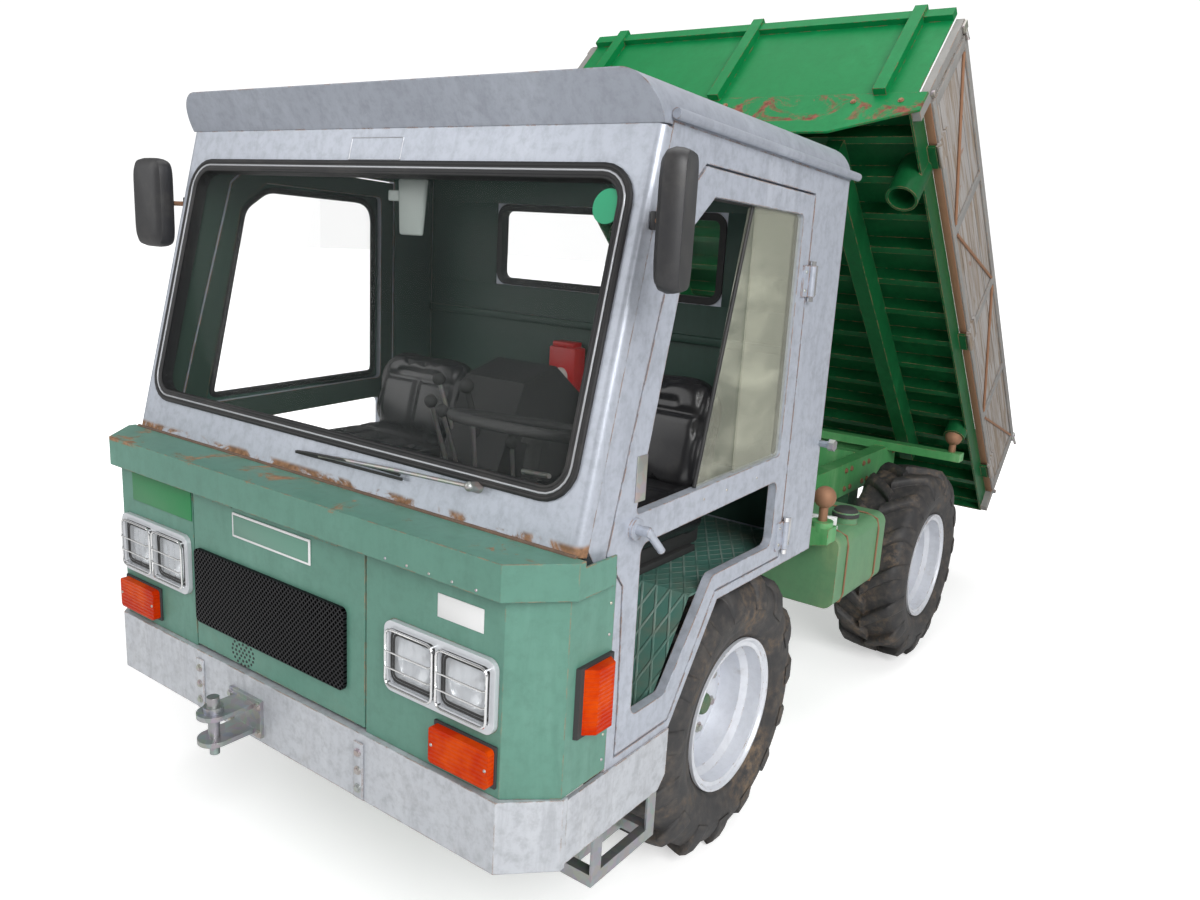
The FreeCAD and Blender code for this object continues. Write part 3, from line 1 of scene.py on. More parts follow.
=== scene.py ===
"""Motor transporter: finishes, fittings, seats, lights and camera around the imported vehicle."""

import json
import logging
import math
from dataclasses import dataclass, field
from enum import Enum
from typing import Optional, Sequence

import bmesh
import bpy
from mathutils import Matrix, Vector


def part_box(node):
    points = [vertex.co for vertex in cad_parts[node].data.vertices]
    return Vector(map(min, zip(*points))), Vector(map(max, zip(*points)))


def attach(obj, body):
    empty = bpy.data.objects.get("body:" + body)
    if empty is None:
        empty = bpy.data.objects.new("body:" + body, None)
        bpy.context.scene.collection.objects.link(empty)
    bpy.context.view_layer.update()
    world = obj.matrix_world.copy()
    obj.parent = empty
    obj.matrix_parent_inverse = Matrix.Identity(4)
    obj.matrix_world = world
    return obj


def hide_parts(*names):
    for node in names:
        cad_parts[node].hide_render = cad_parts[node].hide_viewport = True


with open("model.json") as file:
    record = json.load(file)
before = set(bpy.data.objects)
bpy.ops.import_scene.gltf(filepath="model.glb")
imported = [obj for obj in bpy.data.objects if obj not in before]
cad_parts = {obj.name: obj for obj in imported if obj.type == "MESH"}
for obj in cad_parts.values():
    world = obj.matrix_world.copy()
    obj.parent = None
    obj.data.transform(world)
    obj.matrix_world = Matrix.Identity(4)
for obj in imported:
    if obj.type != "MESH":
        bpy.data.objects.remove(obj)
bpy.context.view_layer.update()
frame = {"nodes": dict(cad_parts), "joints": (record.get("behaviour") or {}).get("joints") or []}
LOG = logging.getLogger("transporter")
FACE_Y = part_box("front_panels")[0].y
MM_PER_METRE = 1000
X, Y, Z = range(3)
SIDES = ((1, "left"), (-1, "right"))
MIX_A, MIX_B, MIX_COLOR = 6, 7, 2
CORNER_SAMPLES = 4
CHIP_RADIUS = 0.005
WELD_GAP = 0.00002
EDGE_LEAN = (0.985, 0.86)
FACING_BACK = (-0.35, -0.45)
LINING_GREEN = (0.040, 0.070, 0.055)
Color = tuple[float, float, float]
Point = Sequence[float]
Pair = tuple[float, float]
Socket = bpy.types.NodeSocket


class Axis(Enum):
    """Directions that pieces face."""

    LEFT = Vector((1, 0, 0))
    RIGHT = Vector((-1, 0, 0))
    FRONT = Vector((0, -1, 0))
    UP = Vector((0, 0, 1))
    DOWN = Vector((0, 0, -1))


def at(x: float, y: float, z: float) -> Vector:
    """A station in millimetres, measured from the cab's front face, in the frame's metres."""
    return Vector((x / MM_PER_METRE, y / MM_PER_METRE + FACE_Y, z / MM_PER_METRE))


def joint(name: str) -> dict:
    """The frame's joint of that name."""
    return next(entry for entry in frame["joints"] if entry["name"] == name)


PIVOT = Vector(joint("bed_tip")["pos_m"])
TIP = math.radians(joint("bed_tip")["range_deg"][1])
TIP_TURN = Matrix.Translation(PIVOT) @ Matrix.Rotation(-TIP, 4, "X") @ Matrix.Translation(-PIVOT)


# ---------------------------------------------------------------- finishes
class Sheet:
    """A material's node sheet with short names for the nodes it uses."""

    def __init__(self, name: str) -> None:
        """Starts a material whose only shader is a Principled one.

        Args:
            name: The material's name.
        """
        self.material = bpy.data.materials.new(name)
        self.material.use_nodes = True
        self.tree = self.material.node_tree
        self.shader = self.tree.nodes["Principled BSDF"]
        self.place = self.tree.nodes.new("ShaderNodeTexCoord").outputs["Object"]

    def feed(self, target: Socket, value: object) -> None:
        """Writes a constant to a node's input, or links a node's output to it.

        Args:
            target: The input.
            value: A number, a colour or another node's output.
        """
        if isinstance(value, Socket):
            self.tree.links.new(value, target)
        elif isinstance(value, tuple) and len(value) == 3 and target.type == "RGBA":
            target.default_value = (*value, 1.0)
        else:
            target.default_value = value

    def set(self, socket: str, value: object) -> None:
        """Writes a constant on the shader, or links a node's output to it."""
        self.feed(self.shader.inputs[socket], value)

    def stretch(self, scale: Point, turn: Point = (0, 0, 0), vector: Optional[Socket] = None) -> Socket:
        """Coordinates scaled along the axes, and turned.

        Args:
            scale: Scale along each axis.
            turn: Turn about each axis, in radians.
            vector: The coordinates, which are the object's own where none are given.

        Returns:
            The new coordinates.
        """
        node = self.tree.nodes.new("ShaderNodeMapping")
        self.feed(node.inputs["Vector"], vector or self.place)
        node.inputs["Scale"].default_value = tuple(scale)
        node.inputs["Rotation"].default_value = tuple(turn)
        return node.outputs["Vector"]

    def noise(self, scale: float, detail: float = 4.0, rough: float = 0.55, warp: float = 0.0,
              vector: Optional[Socket] = None) -> Socket:
        """Cloudy noise from 0 to 1.

        Args:
            scale: Clouds to a metre.
            detail: Octaves of finer noise.
            rough: Strength of the finer noise.
            warp: Distortion of the clouds.
            vector: The coordinates, which are the object's own where none are given.

        Returns:
            The noise.
        """
        node = self.tree.nodes.new("ShaderNodeTexNoise")
        self.feed(node.inputs["Vector"], vector or self.place)
        node.inputs["Scale"].default_value = scale
        node.inputs["Detail"].default_value = detail
        node.inputs["Roughness"].default_value = rough
        node.inputs["Distortion"].default_value = warp
        return node.outputs["Fac"]

    def spangle(self, scale: float) -> Socket:
        """Crystal patches, each of one random colour.

        Args:
            scale: Patches to a metre.

        Returns:
            The colour.
        """
        node = self.tree.nodes.new("ShaderNodeTexVoronoi")
        self.feed(node.inputs["Vector"], self.place)
        node.inputs["Scale"].default_value = scale
        return node.outputs["Color"]

    def wave(self, scale: float, vector: Optional[Socket] = None, direction: str = "X") -> Socket:
        """Even parallel bands from 0 to 1.

        Args:
            scale: How close the bands lie.
            vector: The coordinates, which are the object's own where none are given.
            direction: The axis across the bands.

        Returns:
            The bands.
        """
        node = self.tree.nodes.new("ShaderNodeTexWave")
        node.bands_direction = direction
        self.feed(node.inputs["Vector"], vector or self.place)
        node.inputs["Scale"].default_value = scale
        return node.outputs["Fac"]

    def step(self, value: Socket, low: float, high: float, out_low: float = 0.0, out_high: float = 1.0) -> Socket:
        """Smooth step of a value.

        Args:
            value: The value.
            low: Where the step starts.
            high: Where it ends.
            out_low: The result at the start.
            out_high: The result at the end.

        Returns:
            The result.
        """
        node = self.tree.nodes.new("ShaderNodeMapRange")
        node.interpolation_type = "SMOOTHSTEP"
        self.feed(node.inputs["Value"], value)
        for name, number in (("From Min", low), ("From Max", high), ("To Min", out_low), ("To Max", out_high)):
            node.inputs[name].default_value = number
        return node.outputs["Result"]

    def calc(self, kind: str, a: object, b: object, held: bool = True) -> Socket:
        """Arithmetic on two values.

        Args:
            kind: The operation's name.
            a: First value.
            b: Second value.
            held: Keeps the result between 0 and 1.

        Returns:
            The result.
        """
        node = self.tree.nodes.new("ShaderNodeMath")
        node.operation = kind
        node.use_clamp = held
        self.feed(node.inputs[0], a)
        self.feed(node.inputs[1], b)
        return node.outputs[0]

    def blend(self, factor: object, a: object, b: object) -> Socket:
        """Mix of two colours.

        Args:
            factor: Share of the second colour.
            a: First colour.
            b: Second colour.

        Returns:
            The mixed colour.
        """
        node = self.tree.nodes.new("ShaderNodeMix")
        node.data_type = "RGBA"
        self.feed(node.inputs[0], factor)
        self.feed(node.inputs[MIX_A], a)
        self.feed(node.inputs[MIX_B], b)
        return node.outputs[MIX_COLOR]

    def along(self, axis: int, vector: Optional[Socket] = None) -> Socket:
        """One coordinate of a vector.

        Args:
            axis: X, Y or Z.
            vector: The vector, which is the object coordinates where none is given.

        Returns:
            The coordinate.
        """
        node = self.tree.nodes.new("ShaderNodeSeparateXYZ")
        self.feed(node.inputs[0], vector or self.place)
        return node.outputs[axis]

    def inward(self, axis: int) -> Socket:
        """One on faces that look back to the middle along an axis, zero elsewhere.

        Args:
            axis: X, Y or Z.

        Returns:
            The mask.
        """
        facing = self.along(axis, self.place.node.outputs["Normal"])
        product = self.calc("MULTIPLY", self.along(axis), facing, held=False)
        return self.step(product, *FACING_BACK)

    def edges(self, radius: float) -> Socket:
        """Mask of outer and inner edges, from the rounded normal's lean away from the flat one.

        Args:
            radius: Width of the edge in metres.

        Returns:
            The mask.
        """
        flat = self.tree.nodes.new("ShaderNodeNewGeometry")
        dot = self.tree.nodes.new("ShaderNodeVectorMath")
        dot.operation = "DOT_PRODUCT"
        self.feed(dot.inputs[0], self.soft_corner(radius))
        self.feed(dot.inputs[1], flat.outputs["Normal"])
        return self.step(dot.outputs["Value"], *EDGE_LEAN)

    def soft_corner(self, radius: float) -> Socket:
        """Normal that rounds hard corners.

        Args:
            radius: The corners' radius in metres.

        Returns:
            The normal.
        """
        node = self.tree.nodes.new("ShaderNodeBevel")
        node.samples = CORNER_SAMPLES
        node.inputs["Radius"].default_value = radius
        return node.outputs[0]

    def bump(self, height: Socket, strength: float, depth: float, under: Optional[Socket] = None) -> Socket:
        """Bump from a height field.

        Args:
            height: The height field.
            strength: How much of the bump shows.
            depth: Height in metres at a field of one.
            under: A normal that the bump lies on.

        Returns:
            The normal.
        """
        node = self.tree.nodes.new("ShaderNodeBump")
        node.inputs["Strength"].default_value = strength
        node.inputs["Distance"].default_value = depth
        self.feed(node.inputs["Height"], height)
        if under is not None:
            self.feed(node.inputs["Normal"], under)
        return node.outputs["Normal"]


@dataclass(frozen=True)
class Paint:
    """Sheet-metal paint with fading, chipped edges, rust and dirt."""

    name: str
    color: Color
    faded: Color
    rough: float = 0.38
    metallic: float = 0.0
    chip: Color = (0.20, 0.11, 0.06)
    chips: float = 0.5
    rust: float = 0.25
    dirt: float = 0.3
    dirt_low: float = 0.25
    dirt_top: float = 0.95
    dirt_color: Color = (0.23, 0.18, 0.12)
    rust_line: Optional[Pair] = None
    orange_peel: float = 0.12
    shine: float = 0.5
    mottle: float = 0.22
    torn: float = 0.55
    lined: Optional[int] = None

    def ground(self, sheet: Sheet) -> Socket:
        """Paint colour with fading, cloudy grain, drip marks and the lining's green.

        Args:
            sheet: The material's sheet.

        Returns:
            The colour.
        """
        cloud = sheet.step(sheet.noise(2.3, 5, 0.6), 0.35, 0.7)
        streak = sheet.step(sheet.noise(3.0, 6, 0.65, 0.3, sheet.stretch((5, 5, 0.7))), 0.35, 0.75)
        base = sheet.blend(sheet.calc("MULTIPLY", cloud, streak), self.color, self.faded)
        grain = sheet.step(sheet.noise(38, 6, 0.7), 0.4, 0.72, 0.0, self.mottle)
        base = sheet.blend(grain, base, tuple(c * 0.62 for c in self.color))
        drip = sheet.step(sheet.noise(9, 7, 0.7, 0.4, sheet.stretch((3, 3, 0.5))), 0.50, 0.72, 0.0, self.mottle)
        base = sheet.blend(drip, base, tuple(c * 0.70 for c in self.color))
        if self.lined is not None:
            base = sheet.blend(sheet.inward(self.lined), base, LINING_GREEN)
        return base

    def wear(self, sheet: Sheet) -> Socket:
        """Where the paint is gone: chipped edges, rust spots, and the torn line at a seam.

        Args:
            sheet: The material's sheet.

        Returns:
            The mask.
        """
        broken = sheet.step(sheet.noise(24, 5, 0.65, 0.4), 0.66 - 0.25 * self.chips, 0.74 - 0.2 * self.chips)
        chipped = sheet.calc("MULTIPLY", sheet.edges(CHIP_RADIUS), broken)
        spots = sheet.step(sheet.noise(9, 8, 0.68, 0.8), 0.83 - 0.2 * self.rust, 0.88 - 0.18 * self.rust)
        worn = sheet.calc("MAXIMUM", chipped, spots)
        if self.rust_line is None:
            return worn
        low, high = self.rust_line
        height = sheet.along(Z)
        band = sheet.calc("MULTIPLY", sheet.step(height, low - 0.004, low), sheet.step(height, high + 0.012, high))
        patches = sheet.noise(7, 8, 0.7, 0.8, sheet.stretch((1, 1, 1.6)))
        torn = sheet.step(patches, self.torn - 0.05, self.torn + 0.05)
        return sheet.calc("MAXIMUM", worn, sheet.calc("MULTIPLY", band, torn))

    def soil(self, sheet: Sheet) -> Socket:
        """Where soil sticks, more of it near the ground.

        Args:
            sheet: The material's sheet.

        Returns:
            The mask.
        """
        near_ground = sheet.step(sheet.along(Z), self.dirt_top, self.dirt_low)
        patches = sheet.step(sheet.noise(6, 7, 0.7, 0.5), 0.62 - 0.3 * self.dirt, 0.8)
        return sheet.calc("MULTIPLY", near_ground, patches)

    def build(self) -> bpy.types.Material:
        """Lays rust and soil over the paint.

        Returns:
            The material.
        """
        sheet = Sheet(self.name)
        worn, soil = self.wear(sheet), self.soil(sheet)
        bright_rust = tuple(min(1, c * 1.9) for c in self.chip)
        rust = sheet.blend(sheet.step(sheet.noise(60, 4), 0.3, 0.7), self.chip, bright_rust)
        base = sheet.blend(worn, self.ground(sheet), rust)
        thick = sheet.calc("MULTIPLY", soil, 0.85 * min(1.0, self.dirt + 0.35))
        sheet.set("Base Color", sheet.blend(thick, base, self.dirt_color))
        sheet.set("Roughness", sheet.step(sheet.calc("MAXIMUM", worn, soil), 0.0, 1.0, self.rough, 0.85))
        sheet.set("Metallic", self.metallic)
        sheet.set("Specular IOR Level", self.shine)
        skin = sheet.bump(sheet.noise(75, 3, 0.5), self.orange_peel, 0.0015, sheet.soft_corner(0.003))
        sheet.set("Normal", sheet.bump(worn, 0.35, -0.0006, skin))
        return sheet.material


@dataclass(frozen=True)
class Zinc:
    """Galvanised or bare steel with spangle and brown stains."""

    name: str
    color: Color = (0.50, 0.51, 0.51)
    rough: float = 0.42
    stain: float = 0.35
    metallic: float = 0.85
    stain_color: Color = (0.24, 0.13, 0.07)

    def build(self) -> bpy.types.Material:
        """Lays stains over the spangle.

        Returns:
            The material.
        """
        sheet = Sheet(self.name)
        base = sheet.blend(0.16, self.color, sheet.spangle(55))
        base = sheet.blend(0.55, base, self.color)
        stained = sheet.step(sheet.noise(13, 7, 0.7, 0.6), 0.72 - 0.3 * self.stain, 0.84 - 0.2 * self.stain)
        sheet.set("Base Color", sheet.blend(stained, base, self.stain_color))
        sheet.set("Metallic", self.metallic)
        sheet.set("Roughness", sheet.step(stained, 0, 1, self.rough, 0.8))
        sheet.set("Normal", sheet.bump(sheet.noise(90, 3), 0.15, 0.001, sheet.soft_corner(0.002)))
        return sheet.material


@dataclass(frozen=True)
class Plain:
    """Moulded plastic, rubber, vinyl or chrome: one colour with a little grain and dust."""

    name: str
    color: Color
    rough: float = 0.5
    metallic: float = 0.0
    grain: float = 120.0
    depth: float = 0.2
    dust: float = 0.2
    dust_color: Color = (0.36, 0.33, 0.28)

    def build(self) -> bpy.types.Material:
        """Lays dust over the colour.

        Returns:
            The material.
        """
        sheet = Sheet(self.name)
        dusty = sheet.step(sheet.noise(8, 6, 0.65), 0.45, 0.8, 0.0, self.dust)
        sheet.set("Base Color", sheet.blend(dusty, self.color, self.dust_color))
        sheet.set("Roughness", sheet.step(dusty, 0, 1, self.rough, 0.9))
        sheet.set("Metallic", self.metallic)
        sheet.set("Normal", sheet.bump(sheet.noise(self.grain, 2), self.depth, 0.0006, sheet.soft_corner(0.002)))
        return sheet.material


@dataclass(frozen=True)
class TyreRubber:
    """Tyre rubber with dried soil between the lugs."""

    name: str = "tyre_rubber"
    color: Color = (0.030, 0.029, 0.030)
    scuffed: Color = (0.065, 0.058, 0.052)
    soil: Color = (0.21, 0.15, 0.10)

    def build(self) -> bpy.types.Material:
        """Lays scuffs and soil over the rubber.

        Returns:
            The material.
        """
        sheet = Sheet(self.name)
        patches = sheet.step(sheet.noise(5.5, 7, 0.68, 0.6), 0.45, 0.68)
        fine = sheet.step(sheet.noise(42, 5, 0.7), 0.38, 0.66)
        soil = sheet.calc("MULTIPLY", patches, fine)
        base = sheet.blend(sheet.step(sheet.noise(30, 4), 0.4, 0.8), self.color, self.scuffed)
        sheet.set("Base Color", sheet.blend(sheet.calc("MULTIPLY", soil, 0.75), base, self.soil))
        sheet.set("Roughness", sheet.step(soil, 0, 1, 0.62, 0.95))
        sheet.set("Normal", sheet.bump(sheet.noise(150, 4, 0.7), 0.35, 0.0018, sheet.soft_corner(0.004)))
        return sheet.material


@dataclass(frozen=True)
class Pane:
    """Thin clear glass or a clear lamp lens, with optional flutes and smears."""

    name: str
    tint: Color = (0.10, 0.13, 0.12)
    alpha: float = 0.030
    flutes: float = 0.0
    rough: float = 0.03
    smear: float = 0.0

    def build(self) -> bpy.types.Material:
        """Lays smears and flutes over the clear pane.

        Returns:
            The material.
        """
        sheet = Sheet(self.name)
        sheet.set("Base Color", self.tint)
        cloud = sheet.noise(3.2, 6, 0.6, 0.5, sheet.stretch((1, 1, 2.2)))
        sheet.set("Alpha", sheet.step(cloud, 0.45, 0.75, self.alpha, self.alpha + self.smear))
        sheet.set("Roughness", self.rough)
        sheet.set("Specular IOR Level", 0.9)
        if self.flutes:
            sheet.set("Normal", sheet.bump(sheet.wave(self.flutes), 0.6, 0.003))
        return sheet.material


@dataclass(frozen=True)
class Amber:
    """Orange indicator lens with moulded ribs."""

    name: str = "amber_lens"
    dark: Color = (0.46, 0.022, 0.0008)
    bright: Color = (0.60, 0.062, 0.0015)
    ribs: float = 32.0

    def build(self) -> bpy.types.Material:
        """Lays ribs over the two oranges.

        Returns:
            The material.
        """
        sheet = Sheet(self.name)
        deep = sheet.step(sheet.noise(14, 3), 0.35, 0.7)
        sheet.set("Base Color", sheet.blend(deep, self.dark, self.bright))
        sheet.set("Roughness", 0.22)
        sheet.set("Specular IOR Level", 0.06)
        ribs = sheet.wave(self.ribs, direction="Z")
        sheet.set("Normal", sheet.bump(ribs, 0.5, 0.002, sheet.soft_corner(0.003)))
        return sheet.material


@dataclass(frozen=True)
class TreadPlate:
    """Painted floor plate with a crossed diamond pattern."""

    name: str = "tread_plate"
    color: Color = (0.045, 0.125, 0.10)
    bare: Color = (0.30, 0.36, 0.32)
    soil: Color = (0.16, 0.14, 0.10)
    slant: float = math.radians(32)
    pitch: float = 9.0

    def build(self) -> bpy.types.Material:
        """Lays worn ridges and soil over the paint.

        Returns:
            The material.
        """
        sheet = Sheet(self.name)
        ridges = [sheet.step(sheet.wave(self.pitch, sheet.stretch((1, 1, 1), (0, 0, turn))), 0.90, 0.98)
                  for turn in (self.slant, -self.slant)]
        ridge = sheet.calc("MAXIMUM", *ridges)
        worn = sheet.calc("MULTIPLY", ridge, sheet.step(sheet.noise(7, 5), 0.35, 0.6))
        soil = sheet.step(sheet.noise(5, 7, 0.7, 0.4), 0.45, 0.75, 0.0, 0.6)
        base = sheet.blend(sheet.noise(3, 4), self.color, tuple(c * 1.5 for c in self.color))
        base = sheet.blend(sheet.calc("MULTIPLY", worn, 0.5), base, self.bare)
        sheet.set("Base Color", sheet.blend(soil, base, self.soil))
        sheet.set("Roughness", 0.55)
        sheet.set("Normal", sheet.bump(ridge, 0.8, 0.003))
        return sheet.material


@dataclass(frozen=True)
class Boards:
    """Weathered boards of the bed's sides: long planks, flaking paint, grey wood and rust."""

    name: str = "weathered_boards"
    fibres: Point = (6, 0.5, 9)
    half_plank: float = 0.092
    pale_wood: Color = (0.28, 0.22, 0.165)
    dark_wood: Color = (0.16, 0.12, 0.085)
    pale_paint: Color = (0.42, 0.40, 0.385)
    dark_paint: Color = (0.27, 0.255, 0.245)
    rust: Color = (0.25, 0.105, 0.045)
    gap: Color = (0.03, 0.022, 0.016)

    def build(self) -> bpy.types.Material:
        """Lays paint, rust and the planks' seams over the wood.

        Returns:
            The material.
        """
        sheet = Sheet(self.name)
        turned = sheet.stretch((1, 1, 1), (TIP, 0, 0))
        plank = sheet.calc("PINGPONG", sheet.along(Z, turned), self.half_plank, held=False)
        seam = sheet.step(plank, 0.0022, 0.0)
        grain = sheet.stretch(self.fibres, vector=turned)
        fibre = sheet.noise(9, 8, 0.7, 0.3, grain)
        flake = sheet.step(sheet.noise(4.5, 8, 0.7, 1.0, grain), 0.42, 0.62)
        wood = sheet.blend(sheet.step(fibre, 0.3, 0.75), self.pale_wood, self.dark_wood)
        paint = sheet.blend(sheet.noise(3, 5), self.pale_paint, self.dark_paint)
        base = sheet.blend(flake, paint, wood)
        rusty = sheet.step(sheet.noise(7, 7, 0.72, 0.6), 0.60, 0.70)
        base = sheet.blend(rusty, base, self.rust)
        sheet.set("Base Color", sheet.blend(seam, base, self.gap))
        sheet.set("Roughness", 0.82)
        rough_skin = sheet.bump(fibre, 0.5, 0.002, sheet.soft_corner(0.003))
        sheet.set("Normal", sheet.bump(seam, 0.8, -0.004, rough_skin))
        return sheet.material


@dataclass(frozen=True)
class Perforated:
    """Black perforated sheet, its holes painted near black as painted shade seen through them."""

    name: str = "perforated_black"
    color: Color = (0.008, 0.008, 0.010)
    # colour of the holes: painted shade of the dark space behind the sheet
    hole_shade: Color = (0.0005, 0.0005, 0.0005)
    slant: float = math.radians(45)
    pitch: float = 31.0

    def build(self) -> bpy.types.Material:
        """Sinks the holes between two crossed sets of bars and paints them darker, as painted shade.

        Returns:
            The material.
        """
        sheet = Sheet(self.name)
        bars = [sheet.step(sheet.wave(self.pitch, sheet.stretch((1, 1, 1), (0, turn, 0))), 0.66, 0.90)
                for turn in (self.slant, -self.slant)]
        hole_shade = sheet.calc("SUBTRACT", 1.0, sheet.calc("MAXIMUM", *bars))
        sheet.set("Base Color", sheet.blend(hole_shade, self.color, self.hole_shade))
        sheet.set("Roughness", 0.45)
        sheet.set("Specular IOR Level", sheet.step(hole_shade, 0, 1, 0.30, 0.0))
        sheet.set("Normal", sheet.bump(hole_shade, 0.6, -0.002, sheet.soft_corner(0.003)))
        return sheet.material


class Finish(Enum):
    """Every finish on the vehicle."""

    SILVER = Paint("silver_cab", (0.43, 0.46, 0.525), (0.50, 0.53, 0.595), rough=0.38, metallic=0.30, chips=1.0,
                   rust=0.09, dirt=0.12, dirt_top=0.9, mottle=0.55, lined=X)
    SCREEN = Paint("silver_screen_frame", (0.43, 0.46, 0.52), (0.50, 0.53, 0.59), rough=0.36, metallic=0.30,
                   chips=0.8, rust=0.06, dirt=0.1, mottle=0.50, rust_line=(1.070, 1.088), torn=0.50, lined=Y)
    ROOF = Paint("silver_roof", (0.34, 0.365, 0.42), (0.42, 0.45, 0.51), rough=0.42, metallic=0.30, chips=0.6,
                 rust=0.09, dirt=0.1, mottle=0.40)
    SAGE = Paint("sage_green", (0.098, 0.235, 0.180), (0.130, 0.285, 0.225), rough=0.42, chips=0.85, rust=0.07,
                 dirt=0.35, dirt_top=0.75, mottle=0.30, shine=0.4, rust_line=(1.068, 1.078), torn=0.61)
    GREEN = Paint("chassis_green", (0.070, 0.31, 0.10), (0.20, 0.44, 0.19), rough=0.42, chips=0.7, rust=0.30,
                  dirt=0.45, dirt_top=0.75)
    TANK = Paint("tank_green", (0.11, 0.26, 0.13), (0.25, 0.34, 0.17), rough=0.5, chips=0.9, rust=0.45, dirt=0.6,
                 dirt_top=0.70, dirt_color=(0.17, 0.13, 0.12))
    # bed frame: the bed's green darkened well below the headboard's, painted shade for the shadow under the bed
    BED = Paint("bed_green_painted_shade", (0.004, 0.085, 0.024), (0.012, 0.14, 0.045), rough=0.42, chips=1.0, rust=0.22,
                dirt=0.05, shine=0.3, mottle=0.4)
    HEADBOARD = Paint("headboard_green", (0.003, 0.19, 0.052), (0.008, 0.24, 0.072), rough=0.42, chips=0.8,
                      rust=0.16, dirt=0.0, shine=0.14, chip=(0.15, 0.055, 0.04), rust_line=(2.10, 2.185))
    UNDER = Paint("axle_green", (0.03, 0.13, 0.06), (0.06, 0.17, 0.08), rough=0.6, chips=0.8, rust=0.45, dirt=0.9,
                  dirt_top=1.2)
    INNER = Paint("inner_green", (0.026, 0.064, 0.048), (0.036, 0.084, 0.064), rough=0.5, chips=0.3, rust=0.05,
                  dirt=0.2)
    BUMPER = Paint("bumper_silver", (0.50, 0.52, 0.555), (0.62, 0.64, 0.67), rough=0.38, metallic=0.30, chips=0.9,
                   rust=0.12, dirt=0.30, dirt_top=0.6, mottle=0.62)
    RIM = Paint("rim_silver", (0.66, 0.68, 0.73), (0.74, 0.76, 0.79), rough=0.36, metallic=0.25, chips=0.5,
                rust=0.06, dirt=0.25, dirt_top=1.0)
    POST = Paint("post_grey", (0.24, 0.235, 0.225), (0.33, 0.315, 0.295), rough=0.55, chips=0.9, rust=0.55, dirt=0.0)
    RED = Paint("box_red", (0.66, 0.012, 0.012), (0.70, 0.03, 0.025), rough=0.35, chips=0.3, rust=0.0, dirt=0.0)
    SEAM = Paint("rusted_seam", (0.13, 0.085, 0.06), (0.10, 0.055, 0.035), rough=0.75, chips=0.9, rust=1.0, dirt=0.0)
    ZINC = Zinc("galvanised", (0.36, 0.37, 0.375))
    RUSTY = Zinc("rusty_steel", (0.14, 0.090, 0.065), rough=0.7, stain=0.8, metallic=0.3)
    BARE = Zinc("worn_steel", (0.42, 0.40, 0.38), rough=0.4, stain=0.45, metallic=0.8)
    CHROME = Plain("chrome", (0.66, 0.67, 0.69), rough=0.14, metallic=1.0, grain=60, depth=0.02, dust=0.08)
    FILLER = Plain("seal_filler", (0.42, 0.43, 0.45), rough=0.30, metallic=0.6, grain=60, depth=0.02, dust=0.1)
    BEZEL = Plain("lamp_frame", (0.60, 0.62, 0.65), rough=0.30, metallic=0.35, grain=60, depth=0.05, dust=0.12)
    REFLECTOR = Plain("reflector", (0.62, 0.64, 0.66), rough=0.16, metallic=1.0, grain=60, depth=0.02, dust=0.0)
    BLACK = Plain("black_plastic", (0.014, 0.014, 0.016), rough=0.52, dust=0.08)
    MIRROR = Plain("mirror_shell", (0.020, 0.020, 0.022), rough=0.46, grain=300, depth=0.25, dust=0.10)
    RUBBER = Plain("black_rubber", (0.010, 0.010, 0.011), rough=0.55, dust=0.06)
    VINYL = Plain("seat_vinyl", (0.020, 0.020, 0.022), rough=0.26, grain=260, depth=0.2, dust=0.05)
    WHITE = Plain("white_plate", (0.74, 0.74, 0.74), rough=0.4, dust=0.05)
    TEAL = Plain("teal_plastic", (0.02, 0.22, 0.26), rough=0.4)
    DISC = Plain("green_disc", (0.010, 0.30, 0.14), rough=0.45, dust=0.0)
    PLATE_GREEN = Plain("green_plate", (0.010, 0.19, 0.055), rough=0.4, dust=0.05)
    PLATE_SAGE = Plain("sage_plate", (0.118, 0.262, 0.200), rough=0.42, dust=0.03)
    SHADE = Plain("pale_shade", (0.30, 0.34, 0.32), rough=0.4, dust=0.0)
    CREAM = Plain("cream_dial", (0.70, 0.69, 0.64), rough=0.4, dust=0.0)
    TYRE = TyreRubber()
    GLASS = Pane("window_glass")
    DOOR_GLASS = Pane("door_glass", (0.58, 0.59, 0.47), alpha=0.15, smear=0.22)
    LENS = Pane("lamp_lens", (0.86, 0.89, 0.93), alpha=0.34, flutes=11.0)
    AMBER = Amber()
    FLOOR = TreadPlate()
    BOARD = Boards()
    GATE = Boards("gate_boards", fibres=(0.5, 6, 9))
    GRILLE = Perforated()

    @property
    def material(self) -> bpy.types.Material:
        """The finish's material, built on first use."""
        return bpy.data.materials.get(self.value.name) or self.value.build()


# ---------------------------------------------------------------- shaping
def turn_to(direction: Vector) -> Matrix:
    """Rotation that takes +Z to the direction."""
    return direction.normalized().to_track_quat("Z", "Y").to_matrix().to_4x4()


def edges_at(verts: Sequence[bmesh.types.BMVert]) -> list[bmesh.types.BMEdge]:
    """The edges at the vertices, each once, in an order that is the same in every run."""
    return list(dict.fromkeys(edge for vert in verts for edge in vert.link_edges))


def soften(mesh: bmesh.types.BMesh, edges: list[bmesh.types.BMEdge], radius: float, segments: int = 2) -> None:
    """Rounds edges of a mesh."""
    bmesh.ops.bevel(mesh, geom=edges, offset=radius, segments=segments, affect="EDGES", profile=0.5, material=-1)


